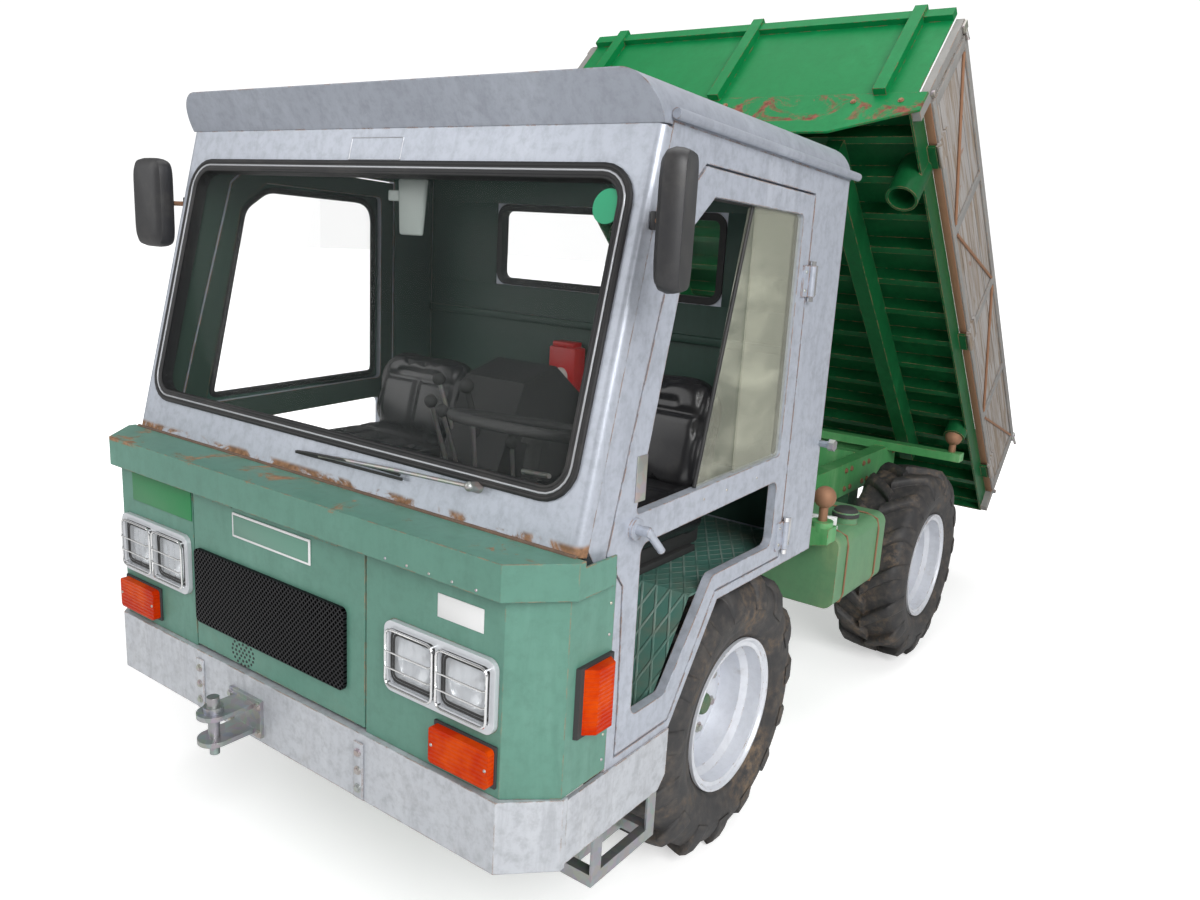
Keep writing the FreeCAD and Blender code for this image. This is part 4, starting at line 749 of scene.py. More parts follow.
def rounded_loop(left: float, right: float, low: float, high: float, radius: float, points: int = 4) -> list[Pair]:
    """Outline of a rectangle with round corners, from its upper right corner round by the upper left one.

    Args:
        left: Its left edge.
        right: Its right edge.
        low: Its lower edge.
        high: Its upper edge.
        radius: Radius of the corners.
        points: Points on each corner.

    Returns:
        The outline's points.
    """
    centres = ((right - radius, high - radius), (left + radius, high - radius),
               (left + radius, low + radius), (right - radius, low + radius))
    loop = []
    for quarter, (across, up) in enumerate(centres):
        for k in range(points):
            angle = math.radians(90 * quarter + 90 / (points - 1) * k)
            loop.append((across + radius * math.cos(angle), up + radius * math.sin(angle)))
    return loop


class Form:
    """A bmesh with the few shapes that the fittings are made from, and the piece it becomes."""

    def __init__(self) -> None:
        """Starts empty."""
        self.mesh = bmesh.new()

    def block(self, low: Vector, high: Vector, bevel: float = 0.0, turn: Optional[Matrix] = None) -> "Form":
        """Box between two corners, with its edges rounded, and turned about its middle.

        Args:
            low: One corner.
            high: The opposite corner.
            bevel: Edge radius in metres.
            turn: Rotation about the box's middle.

        Returns:
            The form itself.
        """
        size = Vector(abs(b - a) for a, b in zip(low, high))
        place = Matrix.Translation((low + high) / 2) @ (turn or Matrix.Identity(4)) @ Matrix.Diagonal((*size, 1))
        made = bmesh.ops.create_cube(self.mesh, size=1.0, matrix=place)
        if bevel:
            soften(self.mesh, edges_at(made["verts"]), bevel)
        return self

    def rod(self, start: Vector, end: Vector, radius: float, tip: Optional[float] = None, sides: int = 16) -> "Form":
        """Round bar or cone between two points.

        Args:
            start: Middle of its foot.
            end: Middle of its other end.
            radius: Radius of its foot.
            tip: Radius of its other end, where it differs.
            sides: Flats round it.

        Returns:
            The form itself.
        """
        run = end - start
        place = Matrix.Translation((start + end) / 2) @ turn_to(run)
        bmesh.ops.create_cone(self.mesh, cap_ends=True, segments=sides, radius1=radius,
                              radius2=radius if tip is None else tip, depth=run.length, matrix=place)
        return self

    def ball(self, centre: Vector, radius: float, detail: int = 12) -> "Form":
        """Ball.

        Args:
            centre: Its middle.
            radius: Its radius.
            detail: Rows of faces from pole to pole.

        Returns:
            The form itself.
        """
        bmesh.ops.create_uvsphere(self.mesh, u_segments=detail + 4, v_segments=detail, radius=radius,
                                  matrix=Matrix.Translation(centre))
        return self

    def bolt(self, foot: Vector, out: Vector, size: float = 0.009) -> "Form":
        """Hexagon bolt head on its washer.

        Args:
            foot: Where it sits.
            out: The direction that it faces.
            size: Radius of the head in metres.

        Returns:
            The form itself.
        """
        way = out.normalized()
        self.rod(foot - way * 0.001, foot + way * 0.0022, size * 1.25, sides=16)
        return self.rod(foot, foot + way * size * 0.75, size * 0.92, size * 0.86, sides=6)

    def rivet(self, foot: Vector, out: Vector, size: float = 0.006) -> "Form":
        """Low round rivet or screw head.

        Args:
            foot: Where it sits.
            out: The direction that it faces.
            size: Its radius in metres.

        Returns:
            The form itself.
        """
        way = out.normalized()
        return self.rod(foot - way * 0.001, foot + way * size * 0.35, size, size * 0.55, sides=12)

    def ring(self, centre: Vector, axis: Vector, radius: float, wire: float, sides: int = 40) -> "Form":
        """Round ring about an axis.

        Args:
            centre: Its middle.
            axis: The direction through it.
            radius: Its radius, to the middle of the wire.
            wire: Radius of the wire.
            sides: Steps round it.

        Returns:
            The form itself.
        """
        place = Matrix.Translation(centre) @ turn_to(axis)
        start = place @ Matrix.Translation((radius, 0, 0)) @ Matrix.Rotation(math.pi / 2, 4, "X")
        circle = bmesh.ops.create_circle(self.mesh, segments=10, radius=wire, matrix=start)
        section = circle["verts"] + edges_at(circle["verts"])
        bmesh.ops.spin(self.mesh, geom=section, cent=centre, axis=axis.normalized(), angle=2 * math.pi,
                       steps=sides, use_merge=True, use_duplicate=False)
        return self

    def turned(self, outline: Sequence[Pair], centre: Vector, axis: Vector, sides: int = 32) -> "Form":
        """Lathe shape.

        Args:
            outline: Its half section, as places along the axis and their radii.
            centre: Where the axis starts.
            axis: The axis.
            sides: Steps round it.

        Returns:
            The form itself.
        """
        place = Matrix.Translation(centre) @ turn_to(axis)
        verts = [self.mesh.verts.new(place @ Vector((radius, 0, along))) for along, radius in outline]
        edges = [self.mesh.edges.new(pair) for pair in zip(verts, verts[1:])]
        bmesh.ops.spin(self.mesh, geom=verts + edges, cent=centre, axis=axis.normalized(), angle=2 * math.pi,
                       steps=sides, use_merge=True, use_duplicate=False)
        return self

    def plate(self, outline: Sequence[Vector], depth: Vector, bevel: float = 0.0) -> "Form":
        """Flat outline pushed out to a thickness.

        Args:
            outline: Its corners in order.
            depth: The push.
            bevel: Edge radius in metres.

        Returns:
            The form itself.
        """
        face = self.mesh.faces.new([self.mesh.verts.new(p) for p in outline])
        grown = bmesh.ops.extrude_face_region(self.mesh, geom=[face])
        moved = [g for g in grown["geom"] if isinstance(g, bmesh.types.BMVert)]
        bmesh.ops.translate(self.mesh, verts=moved, vec=depth)
        if bevel:
            soften(self.mesh, edges_at([*face.verts, *moved]), bevel)
        return self

    def wire(self, points: Sequence[Vector], radius: float, closed: bool = False) -> "Form":
        """Bent wire or pipe through the points.

        Args:
            points: The bends.
            radius: Radius of the wire.
            closed: Joins its end to its start.

        Returns:
            The form itself.
        """
        curve = bpy.data.curves.new("bend", "CURVE")
        curve.dimensions = "3D"
        curve.bevel_depth = radius
        curve.bevel_resolution = 3
        curve.use_fill_caps = not closed
        spline = curve.splines.new("POLY")
        spline.points.add(len(points) - 1)
        for point, place in zip(spline.points, points):
            point.co = (*place, 1.0)
        spline.use_cyclic_u = closed
        holder = bpy.data.objects.new("bend", curve)
        bpy.context.scene.collection.objects.link(holder)
        made = bpy.data.meshes.new_from_object(holder.evaluated_get(bpy.context.evaluated_depsgraph_get()))
        self.mesh.from_mesh(made)
        bpy.data.objects.remove(holder)
        bpy.data.curves.remove(curve)
        bpy.data.meshes.remove(made)
        return self

    def skin(self, rings: Sequence[Sequence[Vector]], hoop: bool = False) -> list[bmesh.types.BMVert]:
        """Skin over rings of as many points each: a tube with flat ends, or a closed hoop.

        Args:
            rings: The rings in order.
            hoop: Joins the last ring to the first and leaves out the flat ends.

        Returns:
            The new vertices.
        """
        made = [[self.mesh.verts.new(point) for point in ring] for ring in rings]
        pairs = list(zip(made, made[1:]))
        if hoop:
            pairs.insert(0, (made[-1], made[0]))
        for near, far in pairs:
            for n in range(len(near)):
                self.mesh.faces.new((near[n - 1], near[n], far[n], far[n - 1]))
        if not hoop:
            self.mesh.faces.new(made[0])
            self.mesh.faces.new(made[-1])
        return [vert for ring in made for vert in ring]

    def mirrored(self) -> "Form":
        """Adds the same shapes on the vehicle's other side.

        Returns:
            The form itself.
        """
        bmesh.ops.mirror(self.mesh, geom=list(self.mesh.verts) + list(self.mesh.edges) + list(self.mesh.faces),
                         axis="X", merge_dist=-1.0)
        return self

    def tipped(self) -> "Form":
        """Turns shapes drawn on the lowered bed up with the tipped bed."""
        bmesh.ops.transform(self.mesh, matrix=TIP_TURN, verts=self.mesh.verts)
        return self

    def piece(self, name: str, finish: Finish, body: str = "vehicle", crease: float = 35.0,
              stands_for: Sequence[str] = ()) -> bpy.types.Object:
        """Finishes the form as a piece on a body.

        Args:
            name: The piece's name.
            finish: Its finish.
            body: The body that it moves with.
            crease: Angle in degrees past which an edge stays sharp.
            stands_for: CAD nodes that it replaces.

        Returns:
            The new object.
        """
        bmesh.ops.remove_doubles(self.mesh, verts=self.mesh.verts, dist=WELD_GAP)
        bmesh.ops.recalc_face_normals(self.mesh, faces=self.mesh.faces)
        for face in self.mesh.faces:
            face.smooth = True
        for edge in self.mesh.edges:
            if len(edge.link_faces) != 2 or edge.calc_face_angle(0) > math.radians(crease):
                edge.smooth = False
        data = bpy.data.meshes.new(name)
        self.mesh.to_mesh(data)
        self.mesh.free()
        made = bpy.data.objects.new(name, data)
        data.materials.append(finish.material)
        bpy.context.scene.collection.objects.link(made)
        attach(made, body)
        if stands_for:
            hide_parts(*stands_for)
        LOG.info("%s on %s: %d faces", name, body, len(data.polygons))
        return made


# ---------------------------------------------------------------- sub-assemblies
@dataclass
class PackedNodes:
    """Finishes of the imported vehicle's own nodes."""

    finishes: dict[str, Finish] = field(default_factory=lambda: {
        "cab_sides": Finish.SILVER, "door_left": Finish.SILVER, "door_right": Finish.SILVER,
        "rear_wall": Finish.SILVER, "screen_panel": Finish.SCREEN, "roof": Finish.ROOF, "gutters": Finish.ROOF,
        "front_panels": Finish.SAGE, "front_hatch": Finish.SAGE, "brow": Finish.SAGE, "grille": Finish.GRILLE,
        "chassis": Finish.GREEN, "front_frame": Finish.GREEN, "front_axle": Finish.UNDER,
        "rear_axle": Finish.UNDER, "tie_rod": Finish.UNDER,
        "knuckle_left": Finish.UNDER, "knuckle_right": Finish.UNDER, "engine": Finish.UNDER,
        "transmission": Finish.UNDER, "fuel_tank": Finish.TANK, "support_balls": Finish.RUSTY,
        "tow_bracket": Finish.ZINC, "cab_steps": Finish.ZINC, "bumper": Finish.BUMPER, "side_skirts": Finish.BUMPER,
        "window_seals": Finish.RUBBER, "window_glass": Finish.GLASS, "door_glass_left": Finish.DOOR_GLASS,
        "door_glass_right": Finish.GLASS, "headlamp_bezels": Finish.BEZEL, "headlamp_glass": Finish.LENS,
        "indicators": Finish.AMBER, "mirrors": Finish.BLACK, "cab_floor": Finish.FLOOR, "dashboard": Finish.INNER,
        "steering_column": Finish.BLACK, "steering_wheel": Finish.BLACK, "console": Finish.BLACK,
        "bed_frame": Finish.BED, "bed_headboard": Finish.HEADBOARD, "bed_corner_posts": Finish.POST,
        "bed_side_board_left": Finish.BOARD, "bed_side_board_right": Finish.BOARD, "bed_tailgate": Finish.GATE,
        "cylinder_body": Finish.GREEN, "cylinder_rod": Finish.CHROME,
    })

    def dress(self) -> None:
        """Gives each node its finish."""
        for name, node in frame["nodes"].items():
            finish = self.finishes.get(name)
            if name.startswith("rim_"):
                finish = Finish.RIM
            elif name.startswith("tyre_"):
                finish = Finish.TYRE
            if finish is None:
                continue
            node.data.materials.clear()
            node.data.materials.append(finish.material)
            LOG.info("node %s: %s", name, finish.name)


@dataclass
class Nose:
    """Fittings of the lower nose: lamp guards, reflectors, plates, screws. Places are in millimetres."""

    lamp_inner: float = 378.0
    lamp_outer: float = 700.0
    lamp_low: float = 700.0
    lamp_high: float = 863.0
    pocket: float = 14.0
    half_post: float = 6.0
    guard_inset: float = 16.0
    guard_corner: float = 16.0
    guard_front: float = -21.0
    guard_bulge: float = -27.0
    guard_wire: float = 0.0028
    housing_inset: float = 19.0
    housing_wire: float = 0.0045
    bowl_front: float = 36.0
    bowl: tuple[Pair, ...] = ((0.0, 0.0005), (0.0, 0.014), (0.008, 0.036), (0.020, 0.052), (0.031, 0.0605),
                              (0.031, 0.063), (0.018, 0.056), (0.005, 0.038), (-0.003, 0.016), (-0.003, 0.0005))
    hole_centre: Pair = (-161.0, 604.0)
    hole_pitch: Pair = (15.0, 11.0)
    hole_radius: float = 0.0036
    side_face: float = 805.6

    def pockets(self) -> list[Pair]:
        """Left and right edge of the two lamp pockets on the vehicle's left.

        Returns:
            A pair of edges for each pocket.
        """
        middle = (self.lamp_inner + self.lamp_outer) / 2
        return [(self.lamp_inner + self.pocket, middle - self.half_post),
                (middle + self.half_post, self.lamp_outer - self.pocket)]

    def guards(self) -> None:
        """Chrome wire guards in front of the four lamps."""
        form = Form()
        low, high = self.lamp_low + self.guard_inset, self.lamp_high - self.guard_inset
        front, bulge = self.guard_front, self.guard_bulge
        for a, b in self.pockets():
            loop = rounded_loop(a, b, low, high, self.guard_corner)
            form.wire([at(x, front, z) for x, z in loop], self.guard_wire, closed=True)
            for share in (0.36, 0.64):
                z = low + (high - low) * share
                bar = [at(a + 1, front, z), at(a + 8, bulge, z), at(b - 8, bulge, z), at(b - 1, front, z)]
                form.wire(bar, self.guard_wire * 0.8)
            for x, z in ((a + 5, low + 5), (b - 5, low + 5), (a + 5, high - 5), (b - 5, high - 5)):
                form.rod(at(x, -11.5, z), at(x, front, z), 0.003, sides=10)
        form.mirrored().piece("headlamp_guards", Finish.CHROME)

    def housings(self) -> None:
        """Dark rounded frames of the four lamps, behind their guards."""
        form = Form()
        low, high = self.lamp_low + self.housing_inset, self.lamp_high - self.housing_inset
        for a, b in self.pockets():
            for inset, radius in ((4, 18), (11, 14)):
                loop = rounded_loop(a + inset, b - inset, low + inset, high - inset, radius)
                form.wire([at(x, -3, z) for x, z in loop], self.housing_wire, closed=True)
        form.mirrored().piece("lamp_housings", Finish.BLACK)

    def reflectors(self) -> None:
        """Bowls and bulbs behind the lamp glasses."""
        bowls, bulbs = Form(), Form()
        for a, b in self.pockets():
            centre = at((a + b) / 2, self.bowl_front, (self.lamp_low + self.lamp_high) / 2)
            bowls.turned(self.bowl, centre, Axis.FRONT.value)
            bulbs.rod(centre, centre + Vector((0, -0.020, 0)), 0.007, 0.006, sides=12)
        bowls.mirrored().piece("lamp_bowls", Finish.REFLECTOR)
        bulbs.mirrored().piece("lamp_bulbs", Finish.WHITE)

    def plates(self) -> None:
        """Bare plates: name plate, green plate and white plate."""
        name_plate = Form().block(at(-187, -3.5, 910), at(116, -0.2, 973), 0.0015)
        name_plate.piece("name_plate_blank", Finish.WHITE, "front_hatch")
        name_field = Form().block(at(-181, -4.1, 916), at(110, -3.0, 967), 0.0008)
        name_field.piece("name_plate_field", Finish.PLATE_SAGE, "front_hatch")
        Form().block(at(-651, -3, 906), at(-368, -0.2, 985), 0.001).piece("green_plate_blank", Finish.PLATE_GREEN)
        Form().block(at(527, -1.4, 907), at(656, -0.2, 959), 0.0005).piece("white_plate_blank", Finish.WHITE)

    def holes(self) -> None:
        """Round cluster of air holes under the grille, drawn as black discs: painted shade inside the holes."""
        form = Form()
        for ring in range(4):
            count = max(1, 6 * ring)
            for k in range(count):
                angle = 2 * math.pi * k / count
                x = self.hole_centre[0] + self.hole_pitch[0] * ring * math.cos(angle)
                z = self.hole_centre[1] + self.hole_pitch[1] * ring * math.sin(angle)
                # the black rubber finish on these discs is painted shade inside the holes
                form.rod(at(x, -0.6, z), at(x, 0.5, z), self.hole_radius, sides=12)
        form.piece("air_hole_shades", Finish.RUBBER, "front_hatch")

    def screws(self) -> None:
        """Rivets and screws of the nose sheets."""
        form = Form()
        for x in (395, 460, 525, 590, 655):
            form.rivet(at(x, -26.2, 1006), Axis.FRONT.value, 0.004)
        for z in (590, 650, 720, 800, 880, 950):
            form.rivet(at(self.side_face, 222, z), Axis.LEFT.value, 0.0045)
            form.rivet(at(-self.side_face, 222, z), Axis.RIGHT.value, 0.0045)
        for x in (540, 692, -540, -692):
            form.rivet(at(x, -26.4, 630), Axis.FRONT.value, 0.0045)
        for side, _ in SIDES:
            for z in (700, 825):
                form.rivet(at(side * 833, 168, z), Vector((side, -1, 0)), 0.0045)
        form.piece("nose_screws", Finish.BARE)

    def indicator_bases(self) -> None:
        """Black backs of the indicators."""
        form = Form()
        for side, _ in SIDES:
            form.block(at(side * 528, -7, 583), at(side * 704, -0.2, 677), 0.002)
            form.plate([at(side * 805.8, 112, 684), at(side * 815, 116, 684), at(side * 815, 232, 684),
                        at(side * 805.8, 232, 684)], Vector((0, 0, 0.157)))
        form.piece("indicator_bases", Finish.BLACK)

    def build(self) -> None:
        """Everything on the nose."""
        self.guards()
        self.housings()
        self.reflectors()
        self.plates()
        self.holes()
        self.screws()
        self.indicator_bases()


@dataclass
class Bumper:
    """Lapped joints and bolts of the bumper. Places are in millimetres."""

    front: float = -14.0
    laps: Pair = (-330.0, 300.0)
    lap_bolts: tuple[float, ...] = (425.0, 470.0, 515.0)
    bracket_x: Pair = (-182.0, -68.0)
    bracket_z: Pair = (424.0, 496.0)

    def build(self) -> None:
        """Lap strips with their bolts, and the tow bracket's bolts."""
        strips, bolts = Form(), Form()
        for x in self.laps:
            strips.block(at(x - 14, self.front - 5, 398), at(x + 16, self.front - 0.2, 540), 0.001)
            for z in self.lap_bolts:
                bolts.bolt(at(x + 1, self.front - 5, z), Axis.FRONT.value, 0.0085)
        for x in self.bracket_x:
            for z in self.bracket_z:
                bolts.bolt(at(x, self.front - 10, z), Axis.FRONT.value, 0.009)
        strips.piece("bumper_laps", Finish.BUMPER)
        bolts.piece("bumper_bolts", Finish.BARE)


@dataclass
class Screen:
    """Windscreen trim: seam, seal, wiper, sticker and flap. Places are in millimetres."""

    foot_y: float = 105.0
    foot_z: float = 1075.0
    lean: float = math.atan2(205.0, 834.0)
    half: float = 760.0
    low: float = 92.0
    high: float = 776.7
    seam_half: float = 798.0
    wiper_hub: Pair = (515.0, 84.0)
    disc: Pair = (704.0, 692.0)

    def on(self, x: float, up: float, out: float = 0.0) -> Vector:
        """A place on the leaning panel: up along it and out in front of it, in millimetres."""
        return at(x, self.foot_y + up * math.sin(self.lean) - out * math.cos(self.lean),
                  self.foot_z + up * math.cos(self.lean) + out * math.sin(self.lean))

    def loop(self, inset: float, radius: float, out: float) -> list[Vector]:
        """Round-cornered loop on the panel.

        Args:
            inset: How far inside the opening's trim it runs.
            radius: Radius of its corners.
            out: How far in front of the panel it lies.

        Returns:
            The loop's points.
        """
        side = self.half - inset
        corners = rounded_loop(-side, side, self.low + inset, self.high - inset, radius, points=7)
        return [self.on(x, up, out) for x, up in corners]

    def seals(self) -> None:
        """Rusty seam under the panel, bright filler and black lips of the seal."""
        seam = Form().wire([at(-self.seam_half, 103.0, 1075.5), at(self.seam_half, 103.0, 1075.5)], 0.0050)
        seam.piece("brow_seam", Finish.SEAM)
        Form().wire(self.loop(14, 66, 6), 0.0026, closed=True).piece("seal_filler", Finish.FILLER)
        lips = Form().wire(self.loop(3, 77, 3), 0.006, closed=True).wire(self.loop(27, 53, 4), 0.0045, closed=True)
        lips.piece("seal_lips", Finish.RUBBER)

    def wiper(self) -> None:
        """Wiper arm on its hub, and the blade on its bow."""
        out = Vector((0, -math.cos(self.lean), math.sin(self.lean)))
        arm = Form()
        hub = self.on(*self.wiper_hub)
        arm.rod(hub, hub + out * 0.030, 0.013, 0.010)
        arm.ball(hub + out * 0.030, 0.011)
        arm.wire([self.on(*self.wiper_hub, 28), self.on(300, 76, 30), self.on(110, 66, 22), self.on(20, 60, 20)],
                 0.0045)
        arm.piece("wiper_arm", Finish.BARE)
        blade = Form()
        blade.block(self.on(-80, 52, 9), self.on(300, 58, 14), 0.001, Matrix.Rotation(math.radians(-0.8), 4, "Y"))
        blade.wire([self.on(-70, 55, 14), self.on(-10, 60, 22), self.on(110, 66, 24), self.on(230, 68, 22),
                    self.on(292, 66, 14)], 0.0032)
        blade.piece("wiper_blade", Finish.BLACK)

    def markers(self) -> None:
        """Round blank sticker, and the flap over the screen."""
        out = Vector((0, -math.cos(self.lean), math.sin(self.lean)))
        disc = Form().rod(self.on(*self.disc, 0.4) - out * 0.0005, self.on(*self.disc, 1.5), 0.036, sides=40)
        disc.piece("round_disc", Finish.DISC)
        corners = ((-103, 782), (79, 782), (79, 836), (-103, 836))
        flap = Form().wire([self.on(x, up, 0.2) for x, up in corners], 0.0016, closed=True)
        flap.piece("panel_flap", Finish.FILLER)

    def build(self) -> None:
        """Everything round the windscreen."""
        self.seals()
        self.wiper()
        self.markers()


BORDER = ((-0.74, -0.84, 0.74, -0.84), (-0.74, 0.84, 0.74, 0.84), (-0.74, -0.84, -0.74, 0.84),
          (0.74, -0.84, 0.74, 0.84))
BACK_SEAMS = (*BORDER, (-0.74, 0.34, 0.74, 0.34), (0.0, -0.84, 0.0, 0.34), (-0.40, 0.48, 0.40, 0.48))
SEAT_SEAMS = (*BORDER, (-0.74, 0.25, 0.74, 0.25), (-0.25, -0.84, -0.25, 0.25), (0.25, -0.84, 0.25, 0.25))


@dataclass
class Cushion:
    """One padded vinyl part of a seat: its box, its crown and its sewn seams. Sizes are in metres.

    Each seam runs between two places, given across and along the pad as shares of its half size.
    """

    name: str
    centre: Vector
    size: Vector
    lean: float
    seams: Sequence[tuple[float, float, float, float]]
    run_axis: int
    corner: float = 0.055
    rim_share: float = 0.18
    block_share: float = 0.96
    voxel: float = 0.011
    pressure: float = 4.0
    settle_frames: int = 16
    most_crown: float = 0.014
    seam_width: float = 0.015
    seam_depth: float = 0.012
    seam_sharpness: float = 1.4
    core_share: float = 0.45

    @property
    def flat_axis(self) -> int:
        """The thin axis of the pad."""
        return min(range(3), key=lambda k: self.size[k])

    def rough_block(self) -> bpy.types.Object:
        """The flat block that the pad swells from.

        Returns:
            The block, in the scene.
        """
        form = bmesh.new()
        bmesh.ops.create_cube(form, size=1.0, matrix=Matrix.Diagonal((*(self.size * self.block_share), 1)))
        uprights = [e for e in form.edges if abs((e.verts[0].co - e.verts[1].co).normalized()[self.flat_axis]) > 0.9]
        soften(form, uprights, self.corner, segments=4)
        soften(form, list(form.edges), min(self.size) * self.rim_share)
        data = bpy.data.meshes.new(self.name)
        form.to_mesh(data)
        form.free()
        pad = bpy.data.objects.new(self.name, data)
        bpy.context.scene.collection.objects.link(pad)
        return pad

    def swell(self, pad: bpy.types.Object) -> None:
        """Remeshes the block and lets cloth pressure crown it.

        Args:
            pad: The block.
        """
        remesh = pad.modifiers.new("even", "REMESH")
        remesh.mode = "VOXEL"
        remesh.voxel_size = self.voxel
        self.apply(pad)
        cloth = pad.modifiers.new("puff", "CLOTH")
        cloth.settings.use_pressure = True
        cloth.settings.uniform_pressure_force = self.pressure
        cloth.settings.effector_weights.gravity = 0.0
        rest = [v.co.copy() for v in pad.data.vertices]
        scene = bpy.context.scene
        for number in range(1, self.settle_frames + 1):
            scene.frame_set(number)
        self.apply(pad)
        for vertex, home in zip(pad.data.vertices, rest):
            move = vertex.co - home
            if move.length > self.most_crown:
                vertex.co = home + move.normalized() * self.most_crown
        scene.frame_set(1)

    @staticmethod
    def apply(pad: bpy.types.Object) -> None:
        """Makes the modifiers' result the pad's own mesh.

        Args:
            pad: The pad.
        """
        graph = bpy.context.evaluated_depsgraph_get()
        made = bpy.data.meshes.new_from_object(pad.evaluated_get(graph))
        pad.modifiers.clear()
        old = pad.data
        pad.data = made
        bpy.data.meshes.remove(old)

    def sew(self, pad: bpy.types.Object) -> None:
        """Presses the seams and the border into the pad.

        Args:
            pad: The swollen pad.
        """
        thin, run = self.flat_axis, self.run_axis
        across = X + Y + Z - thin - run
        half = self.size / 2
        lines = [(Vector((u0 * half[across], v0 * half[run])), Vector((u1 * half[across], v1 * half[run])))
                 for u0, v0, u1, v1 in self.seams]
        for vertex in pad.data.vertices:
            co = vertex.co
            if abs(co[thin]) < half[thin] * self.core_share:
                continue
            here = Vector((co[across], co[run]))
            press = 0.0
            for start, end in lines:
                along = end - start
                share = min(1.0, max(0.0, (here - start).dot(along) / along.length_squared))
                press = max(press, 1 - (here - start - along * share).length / self.seam_width)
            co[thin] -= math.copysign(self.seam_depth * press ** self.seam_sharpness, co[thin])

    def build(self, body: str, stands_for: Sequence[str]) -> None:
        """Makes the finished pad.

        Args:
            body: The body that it moves with.
            stands_for: CAD nodes that it replaces.
        """
        pad = self.rough_block()
        self.swell(pad)
        self.sew(pad)
        pad.data.transform(Matrix.Translation(self.centre) @ Matrix.Rotation(self.lean, 4, "X"))
        smooth = pad.modifiers.new("smooth", "SUBSURF")
        smooth.levels = smooth.render_levels = 1
        for face in pad.data.polygons:
            face.use_smooth = True
        pad.data.materials.append(Finish.VINYL.material)
        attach(pad, body)
        if stands_for:
            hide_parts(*stands_for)
        LOG.info("%s: %d faces", self.name, len(pad.data.polygons))


@dataclass
class Seat:
    """A cab seat: padded cushion and back on a shell and a slide. Sizes are in metres."""

    node: str
    cushion_deep: float = 0.45
    cushion_thick: float = 0.11
    back_thick: float = 0.085
    back_corner: float = 0.10
    half_back: float = 0.045
    wall_gap: float = 0.045
    lean_run: float = 0.080

    def build(self) -> None:
        """Builds the seat inside its node's box."""
        low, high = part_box(self.node)
        middle = (low.x + high.x) / 2
        width = high.x - low.x
        base, front = low.z, low.y
        lean = math.atan2(self.lean_run, high.z - base - 0.12)
        Cushion(self.node + "_cushion", Vector((middle, front + 0.235, base + 0.115)),
                Vector((width * 0.97, self.cushion_deep, self.cushion_thick)), 0.0, SEAT_SEAMS,
                Y).build("vehicle", [self.node])
        back_height = high.z - base - 0.13
        back_y = high.y - self.wall_gap - self.half_back
        Cushion(self.node + "_back", Vector((middle, back_y, base + 0.125 + back_height / 2)),
                Vector((width * 0.92, self.back_thick, back_height * 0.98)), -lean, BACK_SEAMS, Z,
                self.back_corner).build("vehicle", [])
        shell = Form()
        for side_gap, ahead, behind, foot, top, bevel in ((0.04, 0.05, 0.40, 0.001, 0.020, 0.004),
                                                          (0.05, 0.06, 0.43, 0.020, 0.062, 0.008)):
            shell.block(Vector((low.x + side_gap, front + ahead, base + foot)),
                        Vector((high.x - side_gap, front + behind, base + top)), bevel)
        for x in (low.x + 0.07, high.x - 0.07):
            shell.rod(Vector((x, high.y - 0.11, base + 0.03)), Vector((x, high.y - 0.07, base + 0.20)), 0.012)
        shell.piece(self.node + "_shell", Finish.BLACK)


